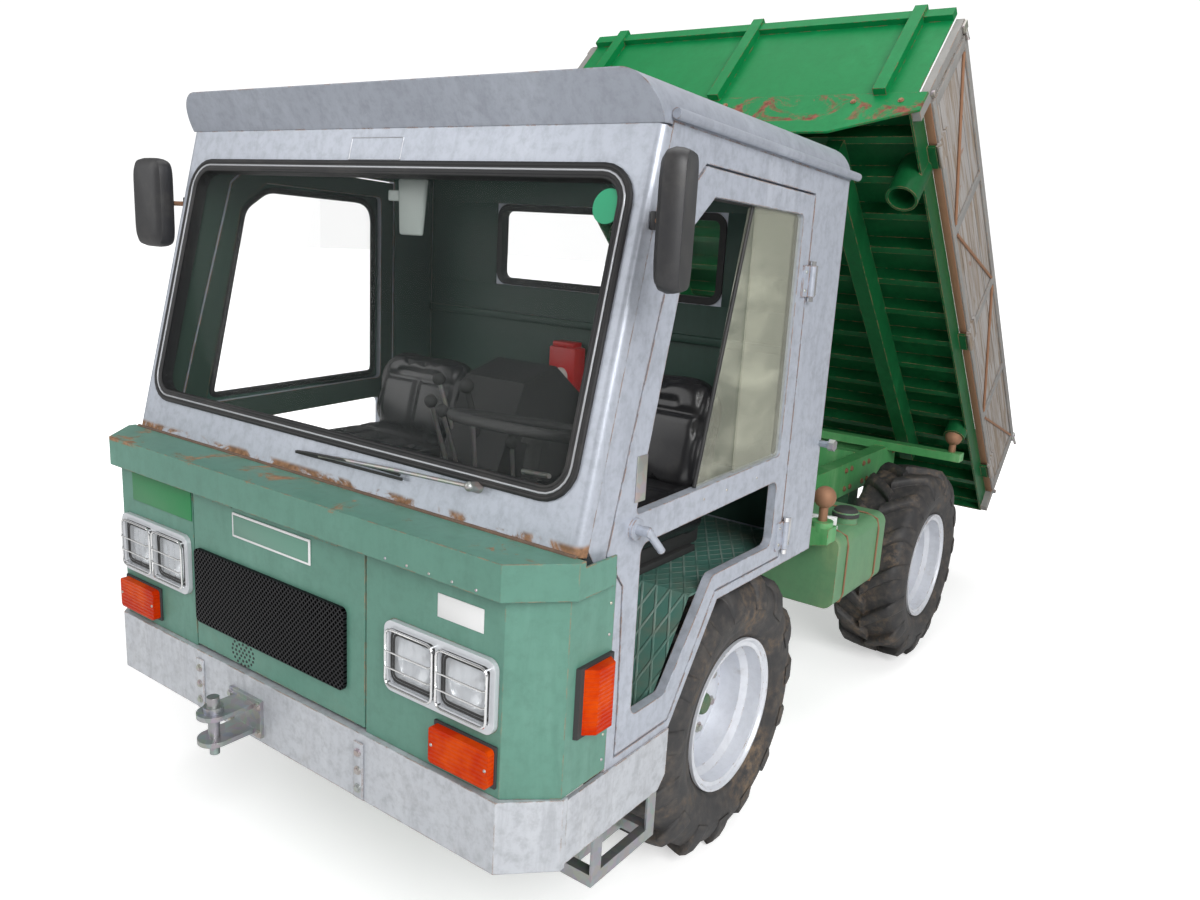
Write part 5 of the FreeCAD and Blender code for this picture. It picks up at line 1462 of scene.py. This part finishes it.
@dataclass
class Cabin:
    """Things inside the cab. Places are in millimetres."""

    wall_y: float = 1230.0
    wall_half: float = 770.0
    wall_low: float = 856.0
    wall_high: float = 1850.0
    window_half: float = 452.0
    window_low: float = 1498.0
    window_high: float = 1772.0
    seats: tuple[str, str] = ("driver_seat", "passenger_seat")
    lever_feet: tuple[Point, ...] = ((60, 620, 850), (-90, 640, 1010), (-60, 650, 1010), (130, 700, 850),
                                     (-120, 700, 1080))
    lever_runs: tuple[Point, ...] = ((14, -50, 330), (-10, -60, 190), (6, -70, 170), (10, -40, 260), (-30, -40, 170))
    pedals_x: tuple[float, ...] = (300, 380, 480)
    pedal_turn: float = math.radians(-40)

    def red_box(self) -> None:
        """Small red box with a pale dial on the rear wall."""
        wall = self.wall_y
        body = Form().block(at(-150, wall - 62, 1165), at(-42, wall - 1, 1318), 0.006)
        body.block(at(-138, wall - 60, 1318), at(-54, wall - 8, 1335), 0.004)
        body.piece("red_box", Finish.RED)
        dial = Form().rod(at(-96, wall - 74, 1222), at(-96, wall - 62, 1222), 0.026, 0.029, 28)
        dial.rod(at(-96, wall - 80, 1222), at(-96, wall - 74, 1222), 0.010, sides=16)
        dial.piece("red_box_dial", Finish.CREAM)

    def levers(self) -> None:
        """Levers, pedals and the column stalk, with their knobs and pads."""
        levers, knobs = Form(), Form()
        for place, run in zip(self.lever_feet, self.lever_runs):
            foot, top = at(*place), at(*(a + b for a, b in zip(place, run)))
            levers.rod(foot, top, 0.006, sides=10)
            knobs.ball(top, 0.019, 10)
        for x in self.pedals_x:
            levers.wire([at(x, 175, 760), at(x, 215, 690), at(x, 250, 640)], 0.007)
            knobs.block(at(x - 28, 236, 626), at(x + 28, 250, 664), 0.003, Matrix.Rotation(self.pedal_turn, 4, "X"))
        levers.rod(at(420, 380, 1130), at(540, 330, 1150), 0.006)
        levers.piece("levers", Finish.BARE)
        knobs.piece("knobs", Finish.BLACK)

    def gauges(self) -> None:
        """Three round gauges on the dashboard."""
        rims, faces = Form(), Form()
        out = Vector((0, 0.35, 1)).normalized()
        for x in (350, 425, 500):
            centre = at(x, 268, 1092)
            rims.ring(centre, out, 0.030, 0.004, 28)
            faces.rod(centre - out * 0.004, centre + out * 0.001, 0.029, sides=28)
        rims.piece("gauge_rims", Finish.CHROME)
        faces.piece("gauge_faces", Finish.CREAM)

    def pump(self) -> None:
        """Small blue-green pump between the seats."""
        pump = Form().block(at(150, 420, 870), at(290, 520, 960), 0.012)
        pump.rod(at(170, 470, 960), at(170, 470, 1010), 0.02)
        pump.block(at(190, 440, 962), at(280, 500, 985), 0.008)
        pump.piece("teal_pump", Finish.TEAL)

    def trims(self) -> None:
        """Black channels of the left door's window, and the small mirror at the screen's head."""
        channel = Form()
        channel.wire([at(779, 986, 1143), at(779, 986, 1768), at(779, 530, 1783), at(779, 443, 1716),
                      at(779, 300, 1121)], 0.006)
        channel.wire([at(786, 562, 1131), at(786, 728, 1772)], 0.005)
        channel.piece("window_channels", Finish.RUBBER, "door_left")
        mirror = Form()
        mirror.plate([at(18, 345, 1662), at(96, 345, 1662), at(106, 350, 1796), at(8, 350, 1796)],
                     Vector((0, 0.012, 0)), 0.006)
        mirror.rod(at(57, 352, 1796), at(57, 352, 1850), 0.008)
        mirror.block(at(-22, 346, 1742), at(16, 362, 1768), 0.003)
        mirror.piece("inner_mirror", Finish.SHADE)

    def liners(self) -> None:
        """Green lining of the rear wall and of the cab's rear corners."""
        lining = Form()
        near, far = self.wall_y - 3, self.wall_y - 0.4
        for low, high in ((self.wall_low, self.window_low), (self.window_high, self.wall_high)):
            lining.block(at(-self.wall_half, near, low), at(self.wall_half, far, high), 0.0005)
        for side, _ in SIDES:
            lining.block(at(side * self.window_half, near, self.window_low),
                         at(side * self.wall_half, far, self.window_high), 0.0005)
        for side, _ in SIDES:
            lining.block(at(side * self.wall_half, 1048, self.wall_low),
                         at(side * (self.wall_half + 4), self.wall_y - 4, self.wall_high), 0.0005)
        for z in (1000, 1380):
            lining.block(at(-765, self.wall_y - 18, z), at(765, near, z + 24), 0.002)
        lining.piece("cab_lining", Finish.INNER)

    def build(self) -> None:
        """Everything inside."""
        for node in self.seats:
            Seat(node).build()
        self.red_box()
        self.levers()
        self.gauges()
        self.pump()
        self.trims()
        self.liners()


@dataclass
class Doors:
    """Hinge leaves, latch plates and screws of the two doors. Places are in millimetres."""

    plane: float = 800.0
    pin: float = 809.3
    hinge_y: float = 1050.0
    hinges: Pair = (1562.0, 868.0)
    screws: tuple[Pair, ...] = ((300, 1170), (322, 1230), (590, 1100), (700, 1102), (860, 1104))
    knob_y: float = 1250.0
    knob_z: float = 1139.0
    corner_points: int = 7
    seal_inner: tuple[Pair, ...] = ((330, 1140), (968, 1160), (968, 1752), (545, 1764), (462, 1706))
    seal_inner_radii: tuple[float, ...] = (25, 25, 75, 30, 30)
    seal_outer: tuple[Pair, ...] = ((296, 1117), (990, 1139), (990, 1772), (529, 1787), (440, 1719))
    seal_outer_radius: float = 16
    seal_faces: Pair = (-799.4, -795.4)
    seal_middle: float = -797.4
    seal_wire: float = 0.0095

    def softened(self, corners: Sequence[Pair], radii: Sequence[float]) -> list[Pair]:
        """A (y, z) outline with its corners rounded.

        Args:
            corners: The outline's corners.
            radii: How far from each corner its curve starts.

        Returns:
            The rounded outline.
        """
        path = []
        for k, corner in enumerate(corners):
            tip = Vector(corner)
            start, end = (tip + (Vector(near) - tip).normalized() * radii[k]
                          for near in (corners[k - 1], corners[(k + 1) % len(corners)]))
            for n in range(self.corner_points):
                t = n / (self.corner_points - 1)
                path.append(tuple(start * (1 - t) ** 2 + tip * (2 * t * (1 - t)) + end * t ** 2))
        return path

    def round_seal(self) -> None:
        """Corner pieces and round-cornered seal of the right door's window."""
        inner = self.softened(self.seal_inner, self.seal_inner_radii)
        outer = self.softened(self.seal_outer, [self.seal_outer_radius] * len(self.seal_outer))
        outside, inside = self.seal_faces
        corners = Form()
        corners.skin([[at(x, y, z) for y, z in loop] for loop, x in
                      ((inner, outside), (outer, outside), (outer, inside), (inner, inside))], hoop=True)
        corners.piece("window_corners_right", Finish.INNER, "door_right")
        seal = Form().wire([at(self.seal_middle, y, z) for y, z in inner], self.seal_wire, closed=True)
        seal.piece("window_seal_right", Finish.RUBBER, "door_right")

    def fittings(self, side: int, label: str) -> None:
        """Hinge leaves, latch plate, screws and rear knob of one side.

        Args:
            side: 1 on the vehicle's left, -1 on its right.
            label: The side's name.
        """
        out = Vector((side, 0, 0))
        moving, fixed, screws = Form(), Form(), Form()
        for z in self.hinges:
            fixed.block(at(side * self.plane, self.hinge_y + 3, z),
                        at(side * (self.plane + 4), self.hinge_y + 48, z + 80), 0.001)
            for dz in (16, 64):
                screws.rivet(at(side * (self.plane + 5), self.hinge_y - 24, z + dz), out, 0.006)
            for low, high in ((z - 12, z - 0.5), (z + 80.5, z + 92)):
                fixed.rod(at(side * self.pin, self.hinge_y, low), at(side * self.pin, self.hinge_y, high), 0.0085)
        moving.block(at(side * self.plane, 292, 1150), at(side * (self.plane + 2.5), 330, 1250), 0.001)
        for y, z in self.screws:
            screws.rivet(at(side * self.plane, y, z), out, 0.0045)
        moving.piece(f"door_latch_plate_{label}", Finish.BARE, f"door_{label}")
        screws.piece(f"door_screws_{label}", Finish.BARE, f"door_{label}")
        fixed.piece(f"door_hinge_leaves_{label}", Finish.CHROME)
        knob = Form()
        for start, end, radius, sides in ((800, 832, 0.010, 16), (828, 846, 0.017, 6)):
            knob.rod(at(side * start, self.knob_y, self.knob_z), at(side * end, self.knob_y, self.knob_z), radius,
                     sides=sides)
        knob.piece(f"rear_knob_{label}", Finish.ZINC)

    def build(self) -> None:
        """Fittings on the doors and on the frame beside them."""
        self.round_seal()
        for side, label in SIDES:
            self.fittings(side, label)


@dataclass
class Wheel:
    """Nuts, cap and valve of one wheel, set about its own axle wherever it is steered to. Sizes are in metres."""

    name: str
    side: int
    inset: float = 0.025
    nut_circle: float = 0.1125
    nuts: int = 8
    nut_size: float = 0.013
    nut_face: float = 0.023
    cap_face: float = 0.066
    cap: tuple[Pair, ...] = ((0.0, 0.0005), (0.0, 0.026), (-0.004, 0.030), (-0.012, 0.032), (-0.012, 0.0005))

    def spot(self, along: float, ahead: float, up: float) -> Vector:
        """A place on the wheel, in metres.

        Args:
            along: Outward along the axle from the wheel's disc.
            ahead: Ahead of the axle.
            up: Above the axle.

        Returns:
            The place.
        """
        axle = joint("roll_" + self.name)
        out = self.side * Vector(axle["axis"])
        rear = Axis.UP.value.cross(self.side * out)
        return Vector(axle["pos_m"]) + out * (along - self.inset) - rear * ahead + Axis.UP.value * up

    def build(self) -> None:
        """Fittings on the wheel's disc."""
        body = f"wheel_{self.name}"
        out = (self.spot(1, 0, 0) - self.spot(0, 0, 0)).normalized()
        bolts = Form()
        for k in range(self.nuts):
            angle = 2 * math.pi * (k + 0.5) / self.nuts
            foot = self.spot(self.nut_face, self.nut_circle * math.cos(angle), self.nut_circle * math.sin(angle))
            bolts.bolt(foot, out, self.nut_size)
        bolts.piece(f"wheel_nuts_{self.name}", Finish.BARE, body)
        Form().turned(self.cap, self.spot(self.cap_face, 0, 0), out).piece(
            f"hub_cap_{self.name}", Finish.UNDER, body)
        valve = Form().rod(self.spot(0.006, 0, 0.150), self.spot(0.040, 0, 0.160), 0.004, sides=10)
        valve.piece(f"valve_{self.name}", Finish.RUBBER, body)


@dataclass
class Tyre:
    """Lugged tyre of one wheel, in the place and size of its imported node. Sizes are in metres.

    A lug's stations are its distance from the middle, its share of the full height and its share of the width.
    """

    name: str
    side: int
    radius: float = 0.405
    wide: float = 0.1425
    lug_height: float = 0.026
    bead: float = 0.1998
    foot: float = 0.1095
    count: int = 15
    sweep: float = math.radians(15)
    phase: float = math.radians(19)
    half_top: float = 0.0235
    half_root: float = 0.0315
    soft: float = 0.004
    lug_start: float = -0.010
    lug_reach: float = 0.125
    sink: float = 0.0005
    steps: int = 120
    lug_stations: tuple[tuple[float, float, float], ...] = (
        (-0.010, 1.0, 1.0), (0.012, 1.0, 0.98), (0.045, 1.0, 0.96), (0.078, 0.99, 0.98), (0.104, 0.98, 1.04),
        (0.124, 0.96, 1.12), (0.136, 0.78, 1.20), (0.1418, 0.42, 1.26))
    wall: tuple[Pair, ...] = ((0.123, 0.233), (0.126, 0.240), (0.124, 0.247), (0.132, 0.262), (0.1395, 0.288),
                              (0.1395, 0.316), (0.136, 0.330))
    tread: tuple[float, ...] = (0.128, 0.118, 0.106, 0.085, 0.05)
    hollow: tuple[Pair, ...] = ((0.095, 0.338), (0.122, 0.300), (0.118, 0.255), (0.0935, 0.225))
    hollow_top: Pair = (0.0, 0.345)
    hollow_foot: float = 0.0935

    def spot(self, x: float, radius: float, angle: float) -> Vector:
        """A place in the tyre.

        Args:
            x: Distance out along the axle.
            radius: Distance from the axle.
            angle: Turn about the axle, from straight ahead upward.

        Returns:
            The place.
        """
        axle = joint("roll_" + self.name)
        out = Vector(axle["axis"]).normalized()
        rear = Axis.UP.value.cross(out)
        return (Vector(axle["pos_m"]) + out * (x * self.side) - rear * (radius * math.cos(angle))
                + Axis.UP.value * (radius * math.sin(angle)))

    def spin(self, form: Form, shape: list[object], angle: float, steps: int, copies: bool) -> None:
        """Sweeps a shape round the wheel's axle, or sets copies of it there.

        Args:
            form: The form that holds the shape.
            shape: Its vertices, edges and faces.
            angle: How far round.
            steps: In how many steps.
            copies: Sets copies instead of sweeping.
        """
        axle = joint("roll_" + self.name)
        bmesh.ops.spin(form.mesh, geom=shape, cent=Vector(axle["pos_m"]), axis=Vector(axle["axis"]).normalized(),
                       angle=angle, steps=steps, use_merge=not copies, use_duplicate=copies)

    def crown(self, x: float) -> float:
        """Radius of the groove floor at a distance from the middle.

        Args:
            x: The distance.

        Returns:
            The radius.
        """
        share = min(1.0, abs(x) / self.wide)
        shoulder = max(0.0, (share - 0.72) / 0.28)
        return self.radius - self.lug_height - 0.004 * share ** 2 - 0.060 * shoulder ** 1.8

    def lugs(self, form: Form, hand: int, angle: float) -> None:
        """One row of swept lugs, each wider at its root and rounded over the shoulder to the side wall.

        Args:
            form: The form that takes them.
            hand: 1 for the outer row, -1 for the inner one.
            angle: Turn of the first lug about the axle.
        """
        rings = []
        soft = self.soft / self.radius
        for x, rise, width in self.lug_stations:
            middle = angle + self.sweep * min(1.0, (x - self.lug_start) / self.lug_reach) ** 0.9
            floor = self.crown(x)
            top = floor + self.lug_height * rise
            half_top, half_root = self.half_top * width / self.radius, self.half_root * width / self.radius
            rings.append([self.spot(hand * x, radius, middle + turn) for radius, turn in (
                (floor - 0.012, -half_root), (floor + 0.001, -half_root), (top - 0.004, -half_top - soft * 0.6),
                (top, -half_top + soft), (top, half_top - soft), (top - 0.004, half_top + soft * 0.6),
                (floor + 0.001, half_root), (floor - 0.012, half_root))])
        made = form.skin(rings)
        faces = dict.fromkeys(face for vert in made for face in vert.link_faces)
        pitch = 2 * math.pi / self.count
        self.spin(form, [*made, *edges_at(made), *faces], 2 * math.pi - pitch, self.count - 1, True)

    def build(self) -> None:
        """Carcass and its two rows of lugs, half a pitch apart."""
        form = Form()
        half = [(self.foot, self.bead), (self.foot + 0.003, self.bead + 0.022), *self.wall]
        half += [(x, self.crown(x) - self.sink) for x in self.tread]
        hollow = [*self.hollow, (self.hollow_foot, self.bead)]
        outline = half + [(0.0, self.crown(0.0) - self.sink)] + [(-x, r) for x, r in reversed(half)]
        outline += [(-x, r) for x, r in reversed(hollow)] + [self.hollow_top] + hollow
        section = [form.mesh.verts.new(self.spot(x, radius, 0.0)) for x, radius in outline]
        edges = [form.mesh.edges.new((section[n - 1], section[n])) for n in range(len(section))]
        self.spin(form, section + edges, 2 * math.pi, self.steps, False)
        self.lugs(form, 1, self.phase)
        self.lugs(form, -1, self.phase + math.pi / self.count)
        form.piece(f"lugged_tyre_{self.name}", Finish.TYRE, f"wheel_{self.name}", crease=50.0,
                   stands_for=(f"tyre_{self.name}",))


@dataclass
class Mirror:
    """One outside mirror: a swollen shell, and the arm to its clamp. Places are in millimetres."""

    side: int
    centre: tuple[float, float, float]
    turn: float
    half: tuple[float, float, float] = (25.5, 74.5, 125.5)
    clamp_y: float = 290.0
    wall: float = 800.0
    around: int = 40
    swell: tuple[Pair, ...] = ((-1.0, 0.60), (-0.86, 0.80), (-0.55, 0.94), (0.0, 1.0), (0.55, 0.985), (0.90, 0.95),
                               (1.0, 0.93))
    square_across: float = 0.42
    square_up: float = 0.30

    def shell(self) -> Form:
        """Shell of the head: rings of a rounded rectangle that swell toward the front.

        Returns:
            The form that holds it.
        """
        form = Form()
        thick, wide, tall = (v / MM_PER_METRE for v in self.half)
        place = Matrix.Translation(at(*self.centre)) @ Matrix.Rotation(math.radians(self.turn), 4, "Z")
        rings = []
        for share, grow in self.swell:
            ring = []
            for k in range(self.around):
                angle = 2 * math.pi * k / self.around
                c, d = math.cos(angle), math.sin(angle)
                across = wide * grow * math.copysign(abs(c) ** self.square_across, c)
                up = tall * (0.35 + 0.65 * grow) * math.copysign(abs(d) ** self.square_up, d)
                ring.append(place @ Vector((thick * share, across, up)))
            rings.append(ring)
        form.skin(rings)
        return form

    def build(self) -> None:
        """Shell, arm and clamp screws."""
        label = "left" if self.side > 0 else "right"
        head = self.shell()
        seat = self.wall + 0.3
        level = self.centre[2]
        head.block(at(self.side * seat, 276, level - 16), at(self.side * (seat + 16), 312, level + 20), 0.003)
        head.piece(f"mirror_head_{label}", Finish.MIRROR, stands_for=("mirrors",) if self.side > 0 else ())
        arm = Form()
        foot = at(self.side * (seat + 9), self.clamp_y, level + 2)
        arm.rod(foot, at(*self.centre), 0.0065)
        arm.ball(foot + Vector((self.side * 0.004, 0, 0)), 0.013)
        arm.rivet(at(self.side * (seat + 16), 284, level + 10), Vector((self.side, 0, 0)), 0.005)
        arm.piece(f"mirror_arm_{label}", Finish.RUSTY)


@dataclass
class Chassis:
    """Fittings of the rails and the tank. Places are in millimetres."""

    rail: float = 420.0
    bolt_y: tuple[float, ...] = (1380, 1400, 1700, 1900, 2100, 2500, 2560, 2700, 2760, 3080)
    bolt_z: Pair = (690, 770)
    cap_centre: tuple[float, float, float] = (680, 1850, 798)
    cap: tuple[Pair, ...] = ((0.0, 0.0005), (0.0, 0.030), (0.004, 0.038), (0.018, 0.047), (0.030, 0.0475),
                             (0.030, 0.0005))
    bracket_turn: float = math.radians(18)
    strap_y: Pair = (1720, 2010)
    strap_wire: float = 0.0035

    def build(self) -> None:
        """Bolts, tank cap, bracket and straps."""
        bolts = Form()
        for y in self.bolt_y:
            for side, _ in SIDES:
                for z in self.bolt_z:
                    bolts.bolt(at(side * self.rail, y, z), Vector((side, 0, 0)), 0.010)
        bolts.piece("rail_bolts", Finish.RUSTY)
        Form().turned(self.cap, at(*self.cap_centre), Axis.DOWN.value).piece("tank_cap", Finish.BLACK)
        bracket = Form()
        for far_y, top in ((1716, 790), (1742, 750)):
            bracket.block(at(560, 1700, 747), at(700, far_y, top), 0.001, Matrix.Rotation(self.bracket_turn, 4, "Z"))
        bracket.piece("white_bracket", Finish.WHITE)
        straps = Form()
        for y in self.strap_y:
            straps.wire([at(x, y, z) for x, z in ((424, 748), (700, 748), (742, 735), (751, 700), (751, 530),
                                                  (740, 498), (700, 486), (424, 486))], self.strap_wire)
        straps.piece("tank_straps", Finish.RUSTY)


@dataclass
class Bed:
    """Frames, stay rods, latches and bolts on the bed, drawn on the lowered bed. Places are in millimetres."""

    half: float = 775.0
    floor: float = 1018.0
    front: float = 1305.0
    rear: float = 3695.0
    top: float = 1388.0
    stakes: int = 5
    stake_wide: float = 40.0
    rail_tall: float = 34.0
    iron: float = 7.0
    rod_radius: float = 0.0055

    def side_frame(self, side: int, label: str) -> None:
        """Foot strip, metal frame, stakes and stay rods on the outside of one side board.

        Args:
            side: 1 on the vehicle's left, -1 on its right.
            label: The side's name.
        """
        irons, rods = Form(), Form()
        x0, x1 = side * self.half, side * (self.half + self.iron)
        y0, y1 = self.front + 41, self.rear - 45
        low, high = self.floor + self.rail_tall, self.top - self.rail_tall
        irons.block(at(x0, y0, high), at(x1, y1, self.top), 0.0015)
        irons.block(at(x0, y0, self.floor + 6), at(x1, y1, low), 0.0015)
        bays = self.stakes - 1
        run = y1 - y0 - self.stake_wide
        for k in range(self.stakes):
            y = y0 + run * k / bays
            irons.block(at(x0, y, low), at(x1, y + self.stake_wide, high), 0.0015)
        step = run / bays
        x = side * (self.half + 5)
        for k in range(bays):
            ends = (self.floor + 44, self.top - 44) if k % 2 else (self.top - 44, self.floor + 44)
            rods.rod(at(x, y0 + step * k + 44, ends[0]), at(x, y0 + step * (k + 1) - 4, ends[1]), self.rod_radius,
                     sides=10)
        strip = Form().block(at(side * (self.half - 28), y0, self.floor + 0.8), at(x0, y1, self.floor + 5.4), 0.0005)
        strip.tipped().piece(f"board_strip_{label}", Finish.RUSTY, f"side_board_{label}")
        irons.tipped().piece(f"side_frame_{label}", Finish.POST, f"side_board_{label}")
        rods.tipped().piece(f"stay_rods_{label}", Finish.RUSTY, f"side_board_{label}")

    def latches(self) -> None:
        """Latch irons at the corner posts."""
        form = Form()
        half, top, foot = self.half, self.top, self.floor + 20
        for side, _ in SIDES:
            for y in (self.front + 16, self.rear - 22):
                form.block(at(side * half, y - 14, top - 26), at(side * (half + 10), y + 14, top + 12), 0.002)
                form.rod(at(side * (half + 5), y, top - 6), at(side * (half + 16), y + 40, top - 22), 0.006)
                form.rod(at(side * (half + 1), y, foot), at(side * (half + 14), y, foot), 0.010)
        form.tipped().piece("post_latches", Finish.BARE, "bed")

    def beam_bolts(self) -> None:
        """Bolt heads on the front beam."""
        form = Form()
        for x in (-700, -540, -60, 60, 540, 700):
            form.bolt(at(x, self.front - 8, self.floor - 40), Axis.FRONT.value, 0.008)
        form.tipped().piece("front_beam_bolts", Finish.RUSTY, "bed")

    def build(self) -> None:
        """Everything on the bed."""
        for side, label in SIDES:
            self.side_frame(side, label)
        self.latches()
        self.beam_bolts()


@dataclass
class Studio:
    """Floor, backdrop light, lamps and camera."""

    eye: tuple[float, float, float] = (1846.4, -1316.8, 1698.2)
    heading: float = math.radians(35.37)
    dip: float = math.radians(12.89)
    roll: float = math.radians(-3.359)
    focal: float = 954.5
    picture_width: float = 1200.0
    sensor: float = 36.0
    sky: float = 0.36
    backdrop: float = 1.1
    floor_half: float = 40.0
    floor_near: Pair = (2.3, 0.46)
    floor_far: Pair = (4.2, 1.0)
    aim: tuple[float, float, float] = (0, 1500, 1000)

    def camera(self) -> None:
        """Camera at the viewing place, turned and rolled."""
        forward = Vector((-math.sin(self.heading) * math.cos(self.dip), math.cos(self.heading) * math.cos(self.dip),
                          -math.sin(self.dip)))
        right = forward.cross(Axis.UP.value).normalized()
        down = forward.cross(right)
        across = math.cos(self.roll) * right + math.sin(self.roll) * down
        below = -math.sin(self.roll) * right + math.cos(self.roll) * down
        data = bpy.data.cameras.new("camera")
        data.sensor_width = self.sensor
        data.lens = data.sensor_width * self.focal / self.picture_width
        data.clip_end = 100.0
        holder = bpy.data.objects.new("camera", data)
        turn = Matrix((across, -below, -forward)).transposed().to_4x4()
        holder.matrix_world = Matrix.Translation(at(*self.eye)) @ turn
        bpy.context.scene.collection.objects.link(holder)
        bpy.context.scene.camera = holder

    def floor(self) -> None:
        """Pale floor that shows white to the camera and keeps the shadow."""
        form = bmesh.new()
        bmesh.ops.create_grid(form, x_segments=1, y_segments=1, size=self.floor_half)
        data = bpy.data.meshes.new("floor")
        form.to_mesh(data)
        form.free()
        ground = bpy.data.objects.new("floor", data)
        bpy.context.scene.collection.objects.link(ground)
        sheet = Sheet("floor_pale")
        away = sheet.tree.nodes.new("ShaderNodeVectorMath")
        away.operation = "LENGTH"
        sheet.feed(away.inputs[0], sheet.place)
        (near, near_glow), (far, far_glow) = self.floor_near, self.floor_far
        glow = sheet.step(away.outputs["Value"], near, far, near_glow, far_glow)
        path = sheet.tree.nodes.new("ShaderNodeLightPath")
        sheet.set("Base Color", (0.86, 0.86, 0.86))
        sheet.set("Roughness", 0.9)
        sheet.set("Specular IOR Level", 0.1)
        sheet.set("Emission Color", (1.0, 1.0, 1.0))
        sheet.set("Emission Strength", sheet.calc("MULTIPLY", glow, path.outputs["Is Camera Ray"]))
        data.materials.append(sheet.material)

    def world(self) -> None:
        """White surroundings for the eye, softer light on the vehicle."""
        world = bpy.data.worlds.new("surroundings")
        world.use_nodes = True
        tree = world.node_tree
        background = tree.nodes["Background"]
        path = tree.nodes.new("ShaderNodeLightPath")
        seen = tree.nodes.new("ShaderNodeMath")
        seen.operation = "MAXIMUM"
        tree.links.new(path.outputs["Is Camera Ray"], seen.inputs[0])
        tree.links.new(path.outputs["Is Transmission Ray"], seen.inputs[1])
        level = tree.nodes.new("ShaderNodeMapRange")
        level.inputs["To Min"].default_value = self.sky
        level.inputs["To Max"].default_value = self.backdrop
        tree.links.new(seen.outputs[0], level.inputs["Value"])
        background.inputs["Color"].default_value = (1, 1, 1, 1)
        tree.links.new(level.outputs["Result"], background.inputs["Strength"])
        bpy.context.scene.world = world

    def lamp(self, name: str, place: Vector, size: float, watts: float) -> None:
        """Large soft lamp aimed at the vehicle's middle.

        Args:
            name: The lamp's name.
            place: Where it stands.
            size: Its width in metres.
            watts: Its power.
        """
        data = bpy.data.lights.new(name, "AREA")
        data.shape = "DISK"
        data.size = size
        data.energy = watts
        holder = bpy.data.objects.new(name, data)
        facing = (at(*self.aim) - place).to_track_quat("-Z", "Y").to_matrix().to_4x4()
        holder.matrix_world = Matrix.Translation(place) @ facing
        bpy.context.scene.collection.objects.link(holder)

    def build(self) -> None:
        """Camera, floor, world and lamps."""
        self.camera()
        self.floor()
        self.world()
        self.lamp("key", at(5600, -2600, 4600), 4.5, 460)
        self.lamp("fill", at(-4200, -4200, 3400), 5.0, 120)
        self.lamp("top", at(0, 2200, 6500), 6.0, 160)
        bpy.context.scene.view_settings.view_transform = "Standard"


def main() -> None:
    """Builds the studio, dresses the nodes and adds the fittings."""
    logging.basicConfig(level=logging.INFO)
    Studio().build()
    PackedNodes().dress()
    Nose().build()
    Bumper().build()
    Screen().build()
    Cabin().build()
    Doors().build()
    for name, side in (("front_left", 1), ("front_right", -1), ("rear_left", 1), ("rear_right", -1)):
        Wheel(name, side).build()
        Tyre(name, side).build()
    Mirror(1, (927.8, 165.0, 1722.0), 22.0).build()
    Mirror(-1, (-905.0, 235.0, 1705.0), 90.0).build()
    Chassis().build()
    Bed().build()


if __name__ == "__main__":
    main()
